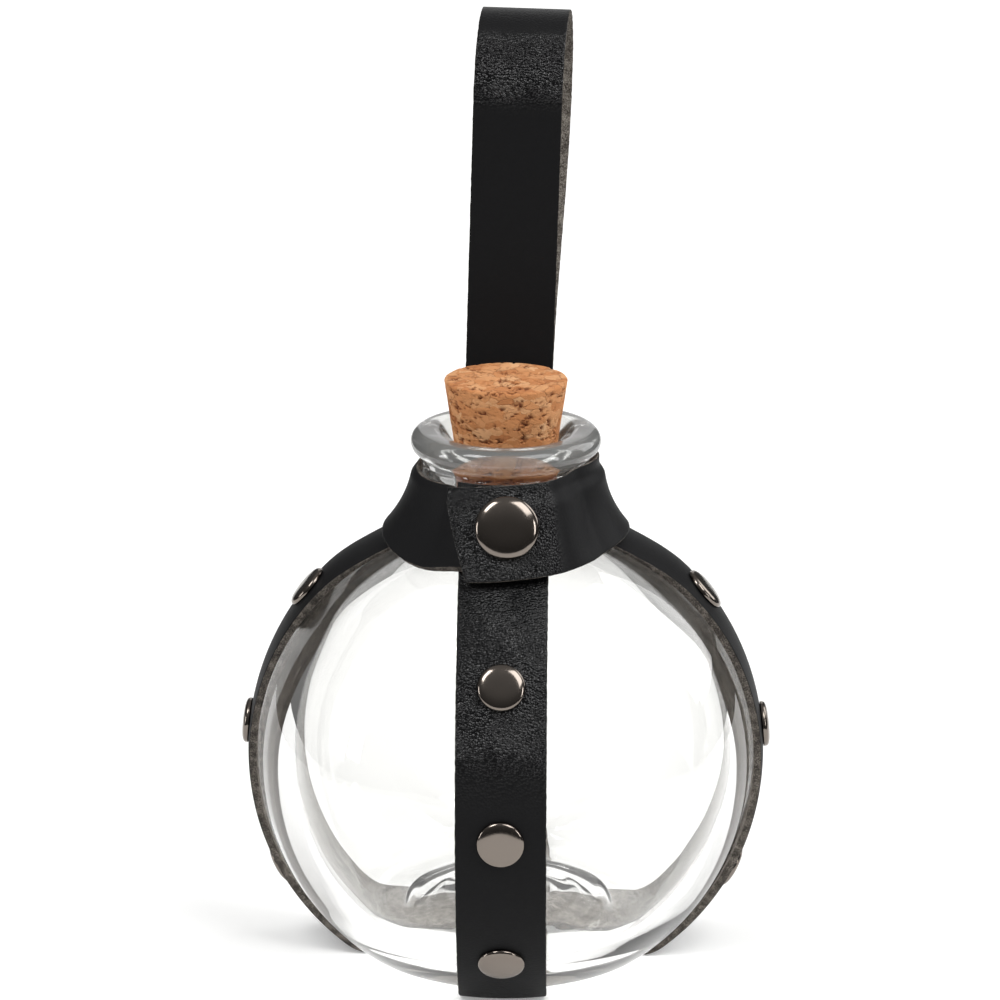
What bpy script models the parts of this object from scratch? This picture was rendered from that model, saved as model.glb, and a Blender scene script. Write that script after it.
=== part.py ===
"""A corked ball bottle in a leather harness, with a belt loop.

The glass is a ball with a small flat foot, a short neck and a fat rounded lip. The harness is a
leather collar that laps over itself at the front and closes with a press snap, one long strap
over the front, the foot and the back, one strap from side to side, and a folded strap that stands
up behind the cork as a belt loop. Every strap carries double-cap rivets.

Profiles are written as (reach, height): the distance from the bottle's upright axis, and the
height above the centre of the ball. Bearings are degrees round that axis, 0 at the front (-Y)
and 90 at the right (+X). The part stands on Z = 0.
"""

import math

import bmesh
import bpy
from mathutils import Matrix, Vector

MM = 0.001

# Fits
SEAT_GAP = 0.3 * MM            # between pieces that touch on the real object
MERGE = 0.001 * MM             # points closer than this are one point

# Glass
BALL_RADIUS = 45.0 * MM
WALL = 2.8 * MM
FOOT_RADIUS = 27.0 * MM        # of the flat that cuts the ball, before the heel is rounded
FOOT_THICKNESS = 5.0 * MM
HEEL_RADIUS = 6.0 * MM
INNER_HEEL_RADIUS = 8.0 * MM
DISH_EDGE_RADIUS = 20.0 * MM   # where the foot's hollow begins
DISH_SPARE = 1.6 * MM          # the hollow's depth above the strap that crosses in it
FLOOR_CROWN = 3.5 * MM         # rise of the inner floor towards its middle
NECK_RADIUS = 14.9 * MM
NECK_HEIGHT = 17.9 * MM        # from the shoulder's corner to the top of the lip
SHOULDER_FILLET = 6.0 * MM
THROAT_FILLET = 6.0 * MM
LIP_BEAD_RADIUS = 2.3 * MM
LIP_OVERHANG = 2.0 * MM        # how far the lip stands out past the neck
MOUTH_ROUNDING = 6.0 * MM      # height of the rounded way into the bore
GLASS_SEGMENTS = 40

# Cork
CORK_LENGTH = 21.5 * MM
CORK_TOP_RADIUS = 10.7 * MM
CORK_TAPER = 0.13              # loss of radius for each unit of depth
CORK_PROUD = 9.1 * MM          # how far it stands above the lip
CORK_EDGE = 0.6 * MM
CORK_SEGMENTS = 32

# Leather
LEATHER = 1.4 * MM
STRAP_WIDTH = 15.2 * MM
CROSSING_MARGIN = 0.9 * MM     # the side strap stays lifted this far past the long strap's edge
ACROSS = 4                     # facets across a strap
COLLAR_ROWS = 8                # facets down the collar
COLLAR_STEP = 10.0             # degrees round the collar for each facet

# Collar
COLLAR_RISE = 11.6 * MM        # its top edge above the shoulder's corner
COLLAR_WIDTH = 15.5 * MM
COLLAR_FLARE = math.radians(22.0)
COLLAR_BEND = 6.0 * MM         # bend of the strap under the collar's lower edge
COLLAR_HOLLOW = 13.0 * MM      # bend of the collar's inner face from the neck to the ball
FLARED_TO = 31.0               # bearing, from front or back, up to which the collar is a cone
HUGS_FROM = 59.0               # bearing from which it hugs the neck
UNDERLAP_END = 16.0
FLAP_HINGE = 36.0
FLAP_WIDTH = 16.1 * MM
FLAP_TOP_END = -32.0
FLAP_FOOT_END = -16.0
FLAP_DROOP = 1.4 * MM          # how far the flap's free end hangs lower than its root
LAP_SPACE = 1.2 * MM           # room between the two layers for the snap

# Press snap
SNAP_BEARING = 1.5
SNAP_DOWN = 7.8 * MM           # from the collar's top edge
SNAP_CAP_RADIUS = 5.4 * MM
SNAP_CAP_HEIGHT = 1.7 * MM
SNAP_SHANK_RADIUS = 1.2 * MM
SOCKET_RADIUS = 4.0 * MM
SOCKET_BORE = 2.5 * MM
SOCKET_DEPTH = 1.05 * MM
SOCKET_SUNK = 0.6 * MM         # depth of its recess in the flap
STUD_FLANGE_RADIUS = 3.2 * MM
STUD_FLANGE = 0.35 * MM
STUD_RADIUS = 1.6 * MM
STUD_SUNK = 0.5 * MM           # depth of its recess in the underlap
POST_HEAD_RADIUS = 3.4 * MM
POST_HEAD = 0.6 * MM

# Double-cap rivets
RIVET_CAP_RADIUS = 4.0 * MM
RIVET_CAP_HEIGHT = 1.3 * MM
RIVET_SHANK_RADIUS = 1.0 * MM
BACK_CAP_RADIUS = 3.2 * MM
BACK_CAP_THICKNESS = 0.5 * MM
LONG_STRAP_RIVETS = (33.0, 0.0, -32.5)   # latitudes on the ball, in degrees
SIDE_STRAP_RIVETS = (40.5, 6.0, -29.0)
CAP_SEGMENTS = 14
BACK_CAP_SEGMENTS = 10

# Belt loop
LOOP_WIDTH = 15.8 * MM
LOOP_LIFT = 2.2 * MM           # from the collar's top edge to where the loop bends
LOOP_HEIGHT = 72.0 * MM        # from there to the top of the fold
LOOP_FOLD_RADIUS = 14.0 * MM
LOOP_LEAN = 0.03               # sideways lean for each unit of height
LOOP_SKEW = 0.07               # and for each unit that the strap goes back
LOOP_RIVET_DOWN = 6.2 * MM     # from the collar's top edge
LOOP_END_CORNER = 3.0 * MM

# Places that follow from the sizes
FOOT_DROP = math.sqrt(BALL_RADIUS ** 2 - FOOT_RADIUS ** 2)
STANDING_HEIGHT = FOOT_DROP + SEAT_GAP + LEATHER
CENTRE = Vector((0.0, 0.0, STANDING_HEIGHT))
LAYER = LEATHER + SEAT_GAP
SHOULDER = math.sqrt(BALL_RADIUS ** 2 - NECK_RADIUS ** 2)
LIP_TOP = SHOULDER + NECK_HEIGHT
COLLAR_TOP = SHOULDER + COLLAR_RISE
HEEL_HEIGHT = -FOOT_DROP + HEEL_RADIUS
HEEL_REACH = math.sqrt((BALL_RADIUS - HEEL_RADIUS) ** 2 - HEEL_HEIGHT ** 2)
DISH_DEPTH = LAYER + SEAT_GAP + DISH_SPARE


# Plane geometry

def arc(centre, radius, start, end, steps):
    """Points on an arc; angles are in radians, 0 outwards and a quarter turn upwards."""
    turn = (end - start) / steps
    angles = [start + turn * step for step in range(steps + 1)]
    return [(centre[0] + radius * math.cos(a), centre[1] + radius * math.sin(a)) for a in angles]


def smooth(value):
    """An even ramp from 0 to 1 that starts and ends gently."""
    value = min(1.0, max(0.0, value))
    return value * value * (3.0 - 2.0 * value)


def mix(first, second, share):
    """The point a given share of the way from the first to the second."""
    return tuple(a + (b - a) * share for a, b in zip(first, second))


def spaced(points, length, count):
    """Points at an even spacing along the first stretch, of this length, of a line of points."""
    result = []
    for step in range(count + 1):
        left = length * step / count
        for start, end in zip(points, points[1:]):
            run = math.dist(start, end)
            if left <= run or end is points[-1]:
                result.append(mix(start, end, left / run))
                break
            left -= run
    return result


def turned_out(bearing, reach, height):
    """The point at a bearing round the bottle's axis."""
    angle = math.radians(bearing)
    return Vector((reach * math.sin(angle), -reach * math.cos(angle), height))


# Solids

def make_material(name, colour, roughness, metallic=0.0, transmission=0.0):
    material = bpy.data.materials.new(name)
    material.use_nodes = True
    shader = material.node_tree.nodes["Principled BSDF"]
    shader.inputs["Base Color"].default_value = (*colour, 1.0)
    shader.inputs["Roughness"].default_value = roughness
    shader.inputs["Metallic"].default_value = metallic
    shader.inputs["Transmission Weight"].default_value = transmission
    material.diffuse_color = (*colour, 1.0)
    return material


def finish(name, work, material, place=Matrix.Translation(CENTRE)):
    """Turn a bmesh into an object at its place."""
    mesh = bpy.data.meshes.new(name)
    work.to_mesh(mesh)
    work.free()
    mesh.materials.append(material)
    return put(name, mesh, place)


def put(name, mesh, place):
    """One more object, which may share its mesh with others."""
    thing = bpy.data.objects.new(name, mesh)
    bpy.context.scene.collection.objects.link(thing)
    thing.matrix_world = place
    return thing


def turned(outline, segments, ring=False):
    """A solid of revolution. The outline starts and ends on the axis, unless it is a ring."""
    work = bmesh.new()
    points = [work.verts.new((reach, 0.0, height)) for reach, height in outline]
    lines = [work.edges.new(pair) for pair in zip(points, points[1:])]
    if ring:
        lines.append(work.edges.new((points[-1], points[0])))
    bmesh.ops.spin(
        work, geom=points + lines, cent=(0.0, 0.0, 0.0), axis=(0.0, 0.0, 1.0),
        angle=math.tau, steps=segments, use_merge=True)
    bmesh.ops.remove_doubles(work, verts=work.verts, dist=MERGE)
    bmesh.ops.recalc_face_normals(work, faces=work.faces)
    return work


def sheet(rows):
    """A surface through rows of points."""
    work = bmesh.new()
    grid = [[work.verts.new(point) for point in row] for row in rows]
    for row, following in zip(grid, grid[1:]):
        for a, b, c, d in zip(row, row[1:], following[1:], following):
            work.faces.new((a, b, c, d))
    return work


def thicken(thing):
    """Give a leather surface its thickness, on its outer side."""
    solidify = thing.modifiers.new("leather thickness", "SOLIDIFY")
    solidify.thickness = LEATHER
    solidify.offset = 1.0
    solidify.use_even_offset = True


def plug(steps, segments):
    """A stepped round cutter: (radius, from height, to height) for each step, going up."""
    outline = [(0.0, steps[0][1])]
    for radius, low, high in steps:
        outline += [(radius, low), (radius, high)]
    outline.append((0.0, steps[-1][2]))
    return turned(outline, segments)


def pierce(thing, plugs):
    """Cut holes and recesses. Each plug is a bmesh and the place that it stands at."""
    whole = bmesh.new()
    for work, place in plugs:
        work.transform(place)
        piece = bpy.data.meshes.new("plug")
        work.to_mesh(piece)
        work.free()
        whole.from_mesh(piece)
        bpy.data.meshes.remove(piece)
    mesh = bpy.data.meshes.new(thing.name + "_holes")
    whole.to_mesh(mesh)
    whole.free()
    cutter = put(mesh.name, mesh, Matrix.Identity(4))
    cutter.hide_render = True
    cutter.display_type = "WIRE"
    cut = thing.modifiers.new("holes", "BOOLEAN")
    cut.operation = "DIFFERENCE"
    cut.object = cutter


def facing(bearing, reach, height, elevation):
    """A place whose +Z looks out from the bottle, raised by the elevation, in degrees."""
    tilt = math.radians(elevation)
    outwards = turned_out(bearing, math.cos(tilt), math.sin(tilt))
    upwards = turned_out(bearing, -math.sin(tilt), math.cos(tilt))
    sideways = upwards.cross(outwards)
    turn = Matrix((sideways, upwards, outwards)).transposed().to_4x4()
    return Matrix.Translation(CENTRE + turned_out(bearing, reach, height)) @ turn


# The glass's outline, and what lies on it

def ball_and_foot(offset, start):
    """Down the ball and round the heel, at a distance outside the glass."""
    heel_angle = math.atan2(HEEL_HEIGHT, HEEL_REACH)
    ball = arc((0.0, 0.0), BALL_RADIUS + offset, start, heel_angle, 15)
    heel = arc((HEEL_REACH, HEEL_HEIGHT), HEEL_RADIUS + offset, heel_angle, -math.pi / 2, 3)
    return ball + heel[1:]


def shoulder(offset):
    """From the neck round the shoulder's hollow to the ball, at a distance outside the glass."""
    reach = NECK_RADIUS + SHOULDER_FILLET
    height = math.sqrt((BALL_RADIUS + SHOULDER_FILLET) ** 2 - reach ** 2)
    end = math.atan2(height, reach)
    return arc((reach, height), SHOULDER_FILLET - offset, math.pi, math.pi + end, 5), end


def dish(reach):
    """Height of the hollow under the foot."""
    return -FOOT_DROP + DISH_DEPTH * (1.0 - (reach / DISH_EDGE_RADIUS) ** 2)


def cork_radius(height):
    """The cork's taper, as if it had no rounded edge."""
    return CORK_TOP_RADIUS - CORK_TAPER * (LIP_TOP + CORK_PROUD - height)


def bottle_outline():
    """Round the glass's section, from the lip down the outside and up the inside."""
    bead = (NECK_RADIUS + LIP_OVERHANG - LIP_BEAD_RADIUS, LIP_TOP - LIP_BEAD_RADIUS)
    lip = arc(bead, LIP_BEAD_RADIUS, math.pi / 2, -math.pi / 3, 6)
    under_lip = (NECK_RADIUS, bead[1] - LIP_BEAD_RADIUS - LIP_OVERHANG / 4)
    hollow, ball_start = shoulder(0.0)
    outside = lip + [under_lip] + hollow + ball_and_foot(0.0, ball_start)[1:]
    rings = [DISH_EDGE_RADIUS * share for share in (1.0, 0.75, 0.45, 0.0)]
    under = [(reach, dish(reach)) for reach in rings]

    inner_radius = BALL_RADIUS - WALL
    floor = -FOOT_DROP + FOOT_THICKNESS
    corner_height = floor + INNER_HEEL_RADIUS
    corner_reach = math.sqrt((inner_radius - INNER_HEEL_RADIUS) ** 2 - corner_height ** 2)
    corner_angle = math.atan2(corner_height, corner_reach)
    crown = [(reach, floor + FLOOR_CROWN * (1.0 - (reach / DISH_EDGE_RADIUS) ** 2))
             for reach in reversed(rings)]
    corner = arc((corner_reach, corner_height), INNER_HEEL_RADIUS, -math.pi / 2, corner_angle, 3)

    mouth = LIP_TOP - MOUTH_ROUNDING
    bore = cork_radius(mouth) + SEAT_GAP
    throat_reach = bore + THROAT_FILLET
    throat_height = math.sqrt((inner_radius + THROAT_FILLET) ** 2 - throat_reach ** 2)
    throat_angle = math.atan2(throat_height, throat_reach)
    inside_ball = arc((0.0, 0.0), inner_radius, corner_angle, throat_angle, 10)
    throat = arc((throat_reach, throat_height), THROAT_FILLET, math.pi + throat_angle, math.pi, 4)
    steps = 4
    rounding = [
        (bead[0] - (bead[0] - bore) * math.cos(turn), mouth + MOUTH_ROUNDING * math.sin(turn))
        for turn in (math.pi / 2 * step / steps for step in range(steps))]
    return outside + under + crown + corner + inside_ball[1:-1] + throat + rounding


def make_bottle(glass):
    work = turned(bottle_outline(), GLASS_SEGMENTS, ring=True)
    finish("bottle", work, glass)


def make_cork(cork):
    top = LIP_TOP + CORK_PROUD
    foot = top - CORK_LENGTH
    outline = [
        (0.0, foot),
        (cork_radius(foot) - CORK_EDGE, foot),
        (cork_radius(foot), foot + CORK_EDGE),
        (cork_radius(LIP_TOP), LIP_TOP),
        (cork_radius(top), top - 2 * CORK_EDGE),
        (cork_radius(top) - CORK_EDGE / 3, top - CORK_EDGE / 3),
        (cork_radius(top) - CORK_EDGE, top),
        (0.0, top),
    ]
    finish("cork", turned(outline, CORK_SEGMENTS), cork)


# Straps on the ball

class Flare:
    """The cone that the strap's end, the collar and the flap share at the front and the back."""

    along = (math.sin(COLLAR_FLARE), -math.cos(COLLAR_FLARE))
    out = (math.cos(COLLAR_FLARE), math.sin(COLLAR_FLARE))
    top_reach = NECK_RADIUS + SEAT_GAP
    strap = top_reach * out[0] + COLLAR_TOP * out[1]
    top = top_reach * along[0] + COLLAR_TOP * along[1]
    bend = -math.sqrt((BALL_RADIUS + SEAT_GAP + COLLAR_BEND) ** 2 - (strap + COLLAR_BEND) ** 2)
    collar = strap + LAYER
    flap = collar + LEATHER + LAP_SPACE

    @classmethod
    def point(cls, distance, run):
        """The point at a distance out from the ball's centre and a run down the cone."""
        return (cls.out[0] * distance + cls.along[0] * run, cls.out[1] * distance + cls.along[1] * run)

    @classmethod
    def profile(cls, offset):
        """Down the cone and round its lower bend, at a distance outside the strap's inner face."""
        centre = cls.point(cls.strap + COLLAR_BEND, cls.bend)
        start = math.pi + COLLAR_FLARE
        end = math.pi + math.atan2(centre[1], centre[0])
        bend = arc(centre, COLLAR_BEND - offset, start, end, 5)
        return [cls.point(cls.strap + offset, cls.top)] + bend, end - math.pi

    @classmethod
    def place(cls, bearing, distance, down):
        """A place on the cone that looks straight out of it."""
        reach, height = cls.point(distance, cls.top + down)
        return facing(bearing, reach, height, math.degrees(COLLAR_FLARE))

    @classmethod
    def sag(cls, radius, down):
        """How far the strap's hollow inner face closes in at the edge of a flat disc."""
        reach = cls.point(cls.strap, cls.top + down)[0]
        return reach - math.sqrt(reach ** 2 - radius ** 2)


def long_strap_half():
    """The long strap's inner face, from its end under the collar to the foot."""
    cone, ball_start = Flare.profile(0.0)
    return cone + ball_and_foot(SEAT_GAP, ball_start)[1:]


def side_strap_half():
    """The side strap's inner face, from its end in the shoulder's hollow to the foot."""
    hollow, ball_start = shoulder(SEAT_GAP)
    return hollow[1:] + ball_and_foot(SEAT_GAP, ball_start)[1:]


def crossing():
    """The side strap's inner face under the foot, lifted where the long strap passes below."""
    seat = -FOOT_DROP - SEAT_GAP
    level = STRAP_WIDTH / 2 + CROSSING_MARGIN
    steps = 6
    ramp = [level + (DISH_EDGE_RADIUS - level) * (1.0 - step / steps) for step in range(steps + 1)]
    return [(reach, seat + LAYER * smooth((DISH_EDGE_RADIUS - reach) / (DISH_EDGE_RADIUS - level)))
            for reach in ramp]


def across_strap(reach, height, width):
    """Points across a strap that lies on the glass, as (along, across, height)."""
    on_foot = height < HEEL_HEIGHT and reach < HEEL_REACH
    round_of = HEEL_REACH if on_foot else reach
    for step in range(ACROSS + 1):
        aside = width * (0.5 - step / ACROSS)
        yield reach * math.sqrt(1.0 - (aside / round_of) ** 2), aside, height


def strap_rows(halves, bearing):
    """Rows of points for a strap that runs down one side, under the foot and up the other."""
    rows = []
    for half, way in halves:
        for reach, height in half:
            row = across_strap(reach, height, STRAP_WIDTH)
            rows.append([
                turned_out(bearing, way * forth, rise) + turned_out(bearing + 90.0, aside, 0.0)
                for forth, aside, rise in row])
    return rows


def rivet_places(latitudes, bearings):
    """Where rivets stand on the strap's inner face, by name of side."""
    seat = BALL_RADIUS + SEAT_GAP
    for side, bearing in bearings:
        for number, latitude in enumerate(latitudes, 1):
            lift = math.radians(latitude)
            yield f"{side}_{number}", facing(
                bearing, seat * math.cos(lift), seat * math.sin(lift), latitude)


def rivet_plug():
    """The recess for a rivet's back cap and the hole for its shank."""
    recess = BACK_CAP_THICKNESS + SEAT_GAP
    return plug([
        (BACK_CAP_RADIUS + SEAT_GAP, -LEATHER, recess),
        (RIVET_SHANK_RADIUS + SEAT_GAP, recess, 2 * LEATHER)], CAP_SEGMENTS)


def shank_plug(low, high, radius):
    return plug([(radius + SEAT_GAP, low, high)], CAP_SEGMENTS)


def make_long_strap(leather):
    half = long_strap_half()
    under = [(HEEL_REACH * share, half[-1][1]) for share in (0.5, 0.0)]
    front = half + under
    back = list(reversed(half + under[:1]))
    work = sheet(strap_rows([(front, 1.0), (back, -1.0)], 0.0))
    strap = finish("front_back_strap", work, leather)
    thicken(strap)
    sides = [("front", 0.0), ("back", 180.0)]
    plugs = [(rivet_plug(), place) for _, place in rivet_places(LONG_STRAP_RIVETS, sides)]
    snap = Flare.place(SNAP_BEARING, Flare.collar, SNAP_DOWN)
    plugs.append((shank_plug(-2 * LAYER, 0.0, SNAP_SHANK_RADIUS), snap))
    loop = Flare.place(180.0, Flare.collar, LOOP_RIVET_DOWN)
    plugs.append((shank_plug(-2 * LAYER, 0.0, RIVET_SHANK_RADIUS), loop))
    pierce(strap, plugs)


def make_side_strap(leather):
    half = side_strap_half()
    under = crossing()
    right = half + under + [(0.0, under[-1][1])]
    left = list(reversed(half + under))
    work = sheet(strap_rows([(right, 1.0), (left, -1.0)], 90.0))
    strap = finish("side_strap", work, leather)
    thicken(strap)
    sides = [("right", 90.0), ("left", 270.0)]
    pierce(strap, [(rivet_plug(), place) for _, place in rivet_places(SIDE_STRAP_RIVETS, sides)])


# Rivets

def cap_outline(radius, height, seat, shank, shank_foot):
    """A domed cap with a rolled rim on a shank, from the shank's foot to the top of the dome."""
    rim = height * 0.3
    return [
        (0.0, shank_foot),
        (shank, shank_foot),
        (shank, seat),
        (radius - rim, seat),
        (radius, seat + rim),
        (radius * 0.93, seat + height * 0.62),
        (radius * 0.62, seat + height * 0.9),
        (0.0, seat + height),
    ]


def disc_outline(radius, low, high):
    """A back cap: a thin disc with a softened edge, domed a little towards the glass."""
    thickness = high - low
    return [
        (0.0, low),
        (radius * 0.7, low + thickness * 0.1),
        (radius, low + thickness * 0.5),
        (radius * 0.95, high),
        (0.0, high),
    ]


def make_strap_rivets(gunmetal):
    seat = LEATHER + SEAT_GAP
    shank_foot = BACK_CAP_THICKNESS + SEAT_GAP
    outline = cap_outline(RIVET_CAP_RADIUS, RIVET_CAP_HEIGHT, seat, RIVET_SHANK_RADIUS, shank_foot)
    cap = bpy.data.meshes.new("rivet_cap")
    work = turned(outline, CAP_SEGMENTS)
    work.to_mesh(cap)
    work.free()
    back = bpy.data.meshes.new("rivet_back")
    work = turned(disc_outline(BACK_CAP_RADIUS, 0.0, BACK_CAP_THICKNESS), BACK_CAP_SEGMENTS)
    work.to_mesh(back)
    work.free()
    for mesh in (cap, back):
        mesh.materials.append(gunmetal)
    places = list(rivet_places(LONG_STRAP_RIVETS, [("front", 0.0), ("back", 180.0)]))
    places += rivet_places(SIDE_STRAP_RIVETS, [("right", 90.0), ("left", 270.0)])
    for name, place in places:
        put(f"rivet_{name}_cap", cap, place)
        put(f"rivet_{name}_back", back, place)


# Collar

def collar_profile(bearing):
    """The collar's inner face at a bearing, from its top edge to its lower edge."""
    cone, cone_end = Flare.profile(LAYER)
    ball = [(0.0, 0.0), BALL_RADIUS + SEAT_GAP + LAYER]
    cone += arc(*ball, cone_end, cone_end - 0.3, 5)[1:]
    reach = Flare.top_reach + COLLAR_HOLLOW
    height = math.sqrt((ball[1] + COLLAR_HOLLOW) ** 2 - reach ** 2)
    hollow_end = math.atan2(height, reach)
    hug = [(Flare.top_reach, COLLAR_TOP)]
    hug += arc((reach, height), COLLAR_HOLLOW, math.pi, math.pi + hollow_end, 8)
    hug += arc(*ball, hollow_end, hollow_end - 0.3, 5)[1:]
    turn = abs((bearing + 90.0) % 180.0 - 90.0)
    flared = 1.0 - smooth((turn - FLARED_TO) / (HUGS_FROM - FLARED_TO))
    pairs = zip(
        spaced(hug, COLLAR_WIDTH, COLLAR_ROWS), spaced(cone, COLLAR_WIDTH, COLLAR_ROWS))
    return [mix(hugging, straight, flared) for hugging, straight in pairs]


def bearings(start, end, step):
    count = max(1, round(abs(end - start) / step))
    return [start + (end - start) * number / count for number in range(count + 1)]


def hinge_clearance():
    """The bearing that makes the gap between the collar and the flap's root."""
    return math.degrees(SEAT_GAP / (NECK_RADIUS + LAYER))


def make_collar(leather):
    rows = [[turned_out(bearing, *point) for point in collar_profile(bearing)]
            for bearing in bearings(FLAP_HINGE + hinge_clearance(), 360.0 + UNDERLAP_END, COLLAR_STEP)]
    collar = finish("collar", sheet(rows), leather)
    thicken(collar)
    snap = Flare.place(SNAP_BEARING, Flare.collar, SNAP_DOWN)
    stud_hole = plug([
        (SNAP_SHANK_RADIUS + SEAT_GAP, -LEATHER, LEATHER - STUD_SUNK),
        (STUD_FLANGE_RADIUS + SEAT_GAP, LEATHER - STUD_SUNK, 2 * LEATHER)], CAP_SEGMENTS)
    loop = Flare.place(180.0, Flare.collar, LOOP_RIVET_DOWN)
    pierce(collar, [
        (stud_hole, snap),
        (shank_plug(-LEATHER, 2 * LEATHER, RIVET_SHANK_RADIUS), loop)])


def flap_point(bearing, share):
    """A point on the flap's inner face: share 0 at its top edge, 1 at its lower edge."""
    lifted = smooth((FLAP_HINGE - bearing) / (FLAP_HINGE - UNDERLAP_END - 2.0))
    droop = FLAP_DROOP * (FLAP_HINGE - bearing) / (FLAP_HINGE - FLAP_FOOT_END)
    straight = Flare.point(Flare.flap, Flare.top + droop + FLAP_WIDTH * share)
    rooted = collar_profile(bearing)
    place = share * COLLAR_ROWS
    first = min(COLLAR_ROWS - 1, int(place))
    root = mix(rooted[first], rooted[first + 1], place - first)
    return mix(root, straight, lifted)


def hinge_line():
    """The collar's outer corners where the flap turns, lower one first."""
    profile = collar_profile(FLAP_HINGE)
    ends = []
    for point, neighbour in ((profile[-1], profile[-2]), (profile[0], profile[1])):
        run = Vector((point[0] - neighbour[0], point[1] - neighbour[1])).normalized()
        if point is profile[0]:
            run = -run
        outer = (point[0] - run.y * (LEATHER + SEAT_GAP), point[1] + run.x * (LEATHER + SEAT_GAP))
        ends.append(CENTRE + turned_out(FLAP_HINGE, *outer))
    return ends


def make_flap(leather):
    low, high = hinge_line()
    origin = (low + high) / 2
    rows_down = 7
    columns = 12
    rows = []
    for column in range(columns + 1):
        row = []
        for step in range(rows_down + 1):
            share = step / rows_down
            end = FLAP_TOP_END + (FLAP_FOOT_END - FLAP_TOP_END) * share
            bearing = end + (FLAP_HINGE - end) * column / columns
            row.append(turned_out(bearing, *flap_point(bearing, share)) + CENTRE - origin)
        rows.append(row)
    flap = finish("collar_flap", sheet(rows), leather, Matrix.Translation(origin))
    thicken(flap)
    snap = Flare.place(SNAP_BEARING, Flare.flap, SNAP_DOWN)
    socket_hole = plug([
        (SOCKET_RADIUS + SEAT_GAP, -LEATHER, SOCKET_SUNK),
        (SNAP_SHANK_RADIUS + SEAT_GAP, SOCKET_SUNK, 2 * LEATHER)], CAP_SEGMENTS)
    pierce(flap, [(socket_hole, snap)])
    return flap


# Press snap

def make_snap(gunmetal, flap):
    on_flap = Flare.place(SNAP_BEARING, Flare.flap, SNAP_DOWN)
    on_collar = Flare.place(SNAP_BEARING, Flare.collar, SNAP_DOWN)
    cap = cap_outline(
        SNAP_CAP_RADIUS, SNAP_CAP_HEIGHT, LEATHER + SEAT_GAP, SNAP_SHANK_RADIUS, SOCKET_SUNK)
    socket_top = SOCKET_SUNK - SEAT_GAP
    socket_foot = socket_top - SOCKET_DEPTH
    lid = SOCKET_DEPTH * 0.2
    socket = [
        (0.0, socket_top - lid),
        (SOCKET_BORE, socket_top - lid),
        (SOCKET_BORE, socket_foot),
        (SOCKET_RADIUS * 0.85, socket_foot),
        (SOCKET_RADIUS, socket_foot + lid),
        (SOCKET_RADIUS, socket_top),
        (0.0, socket_top),
    ]
    stud_foot = LEATHER - STUD_SUNK + SEAT_GAP
    stud_top = LEATHER + LAP_SPACE + socket_top - lid - SEAT_GAP
    waist = stud_foot + STUD_FLANGE
    stud = [
        (0.0, stud_foot),
        (STUD_FLANGE_RADIUS, stud_foot),
        (STUD_FLANGE_RADIUS, waist),
        (STUD_RADIUS * 0.85, waist),
        (STUD_RADIUS, waist + (stud_top - waist) * 0.6),
        (STUD_RADIUS * 0.7, stud_top),
        (0.0, stud_top),
    ]
    head_top = -LAYER - SEAT_GAP - Flare.sag(POST_HEAD_RADIUS, SNAP_DOWN)
    post = [
        (0.0, head_top - POST_HEAD),
        (POST_HEAD_RADIUS * 0.8, head_top - POST_HEAD),
        (POST_HEAD_RADIUS, head_top - POST_HEAD / 2),
        (POST_HEAD_RADIUS, head_top),
        (SNAP_SHANK_RADIUS, head_top),
        (SNAP_SHANK_RADIUS, LEATHER - STUD_SUNK),
        (0.0, LEATHER - STUD_SUNK),
    ]
    moving = [
        finish("snap_cap", turned(cap, 24), gunmetal, on_flap),
        finish("snap_socket", turned(socket, 20), gunmetal, on_flap),
    ]
    for piece in moving:
        piece.parent = flap
        piece.matrix_parent_inverse = flap.matrix_world.inverted()
    finish("snap_stud", turned(stud, 20), gunmetal, on_collar)
    finish("snap_post", turned(post, 20), gunmetal, on_collar)


# Belt loop

def loop_hinge():
    """Where the loop bends, as (reach behind the axis, height)."""
    middle = Flare.collar + LEATHER + SEAT_GAP + LAYER - SEAT_GAP / 2
    return Flare.point(middle, Flare.top - LOOP_LIFT)


def loop_centre_line():
    """The middle of the strap's thickness, up the front of the loop, over and down its back."""
    reach, height = loop_hinge()
    half_gap = LAYER / 2
    start = height + 2 * LAYER
    top = height + LOOP_HEIGHT - LEATHER / 2
    fold = LOOP_FOLD_RADIUS - LEATHER / 2
    front = reach - half_gap
    centre = (front + fold, top - fold)
    points = [(front, start), (front, (start + centre[1]) / 2)]
    points += arc(centre, fold, math.pi, 0.0, 14)
    belly = (centre[0] + fold, centre[1])
    foot = (reach + half_gap, start)
    slack = (belly[1] - foot[1]) * 0.42
    steps = 14
    for step in range(1, steps + 1):
        share = step / steps
        upper = mix(belly, (belly[0], belly[1] - slack), share)
        middle = mix((belly[0], belly[1] - slack), (foot[0], foot[1] + slack), share)
        lower = mix((foot[0], foot[1] + slack), foot, share)
        points.append(mix(mix(upper, middle, share), mix(middle, lower, share), share))
    return points


def offset_line(points, distance):
    """A line of points moved to its left."""
    moved = []
    for index, point in enumerate(points):
        before = points[max(0, index - 1)]
        after = points[min(len(points) - 1, index + 1)]
        run = Vector((after[0] - before[0], after[1] - before[1])).normalized()
        moved.append((point[0] - run.y * distance, point[1] + run.x * distance))
    return moved


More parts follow.
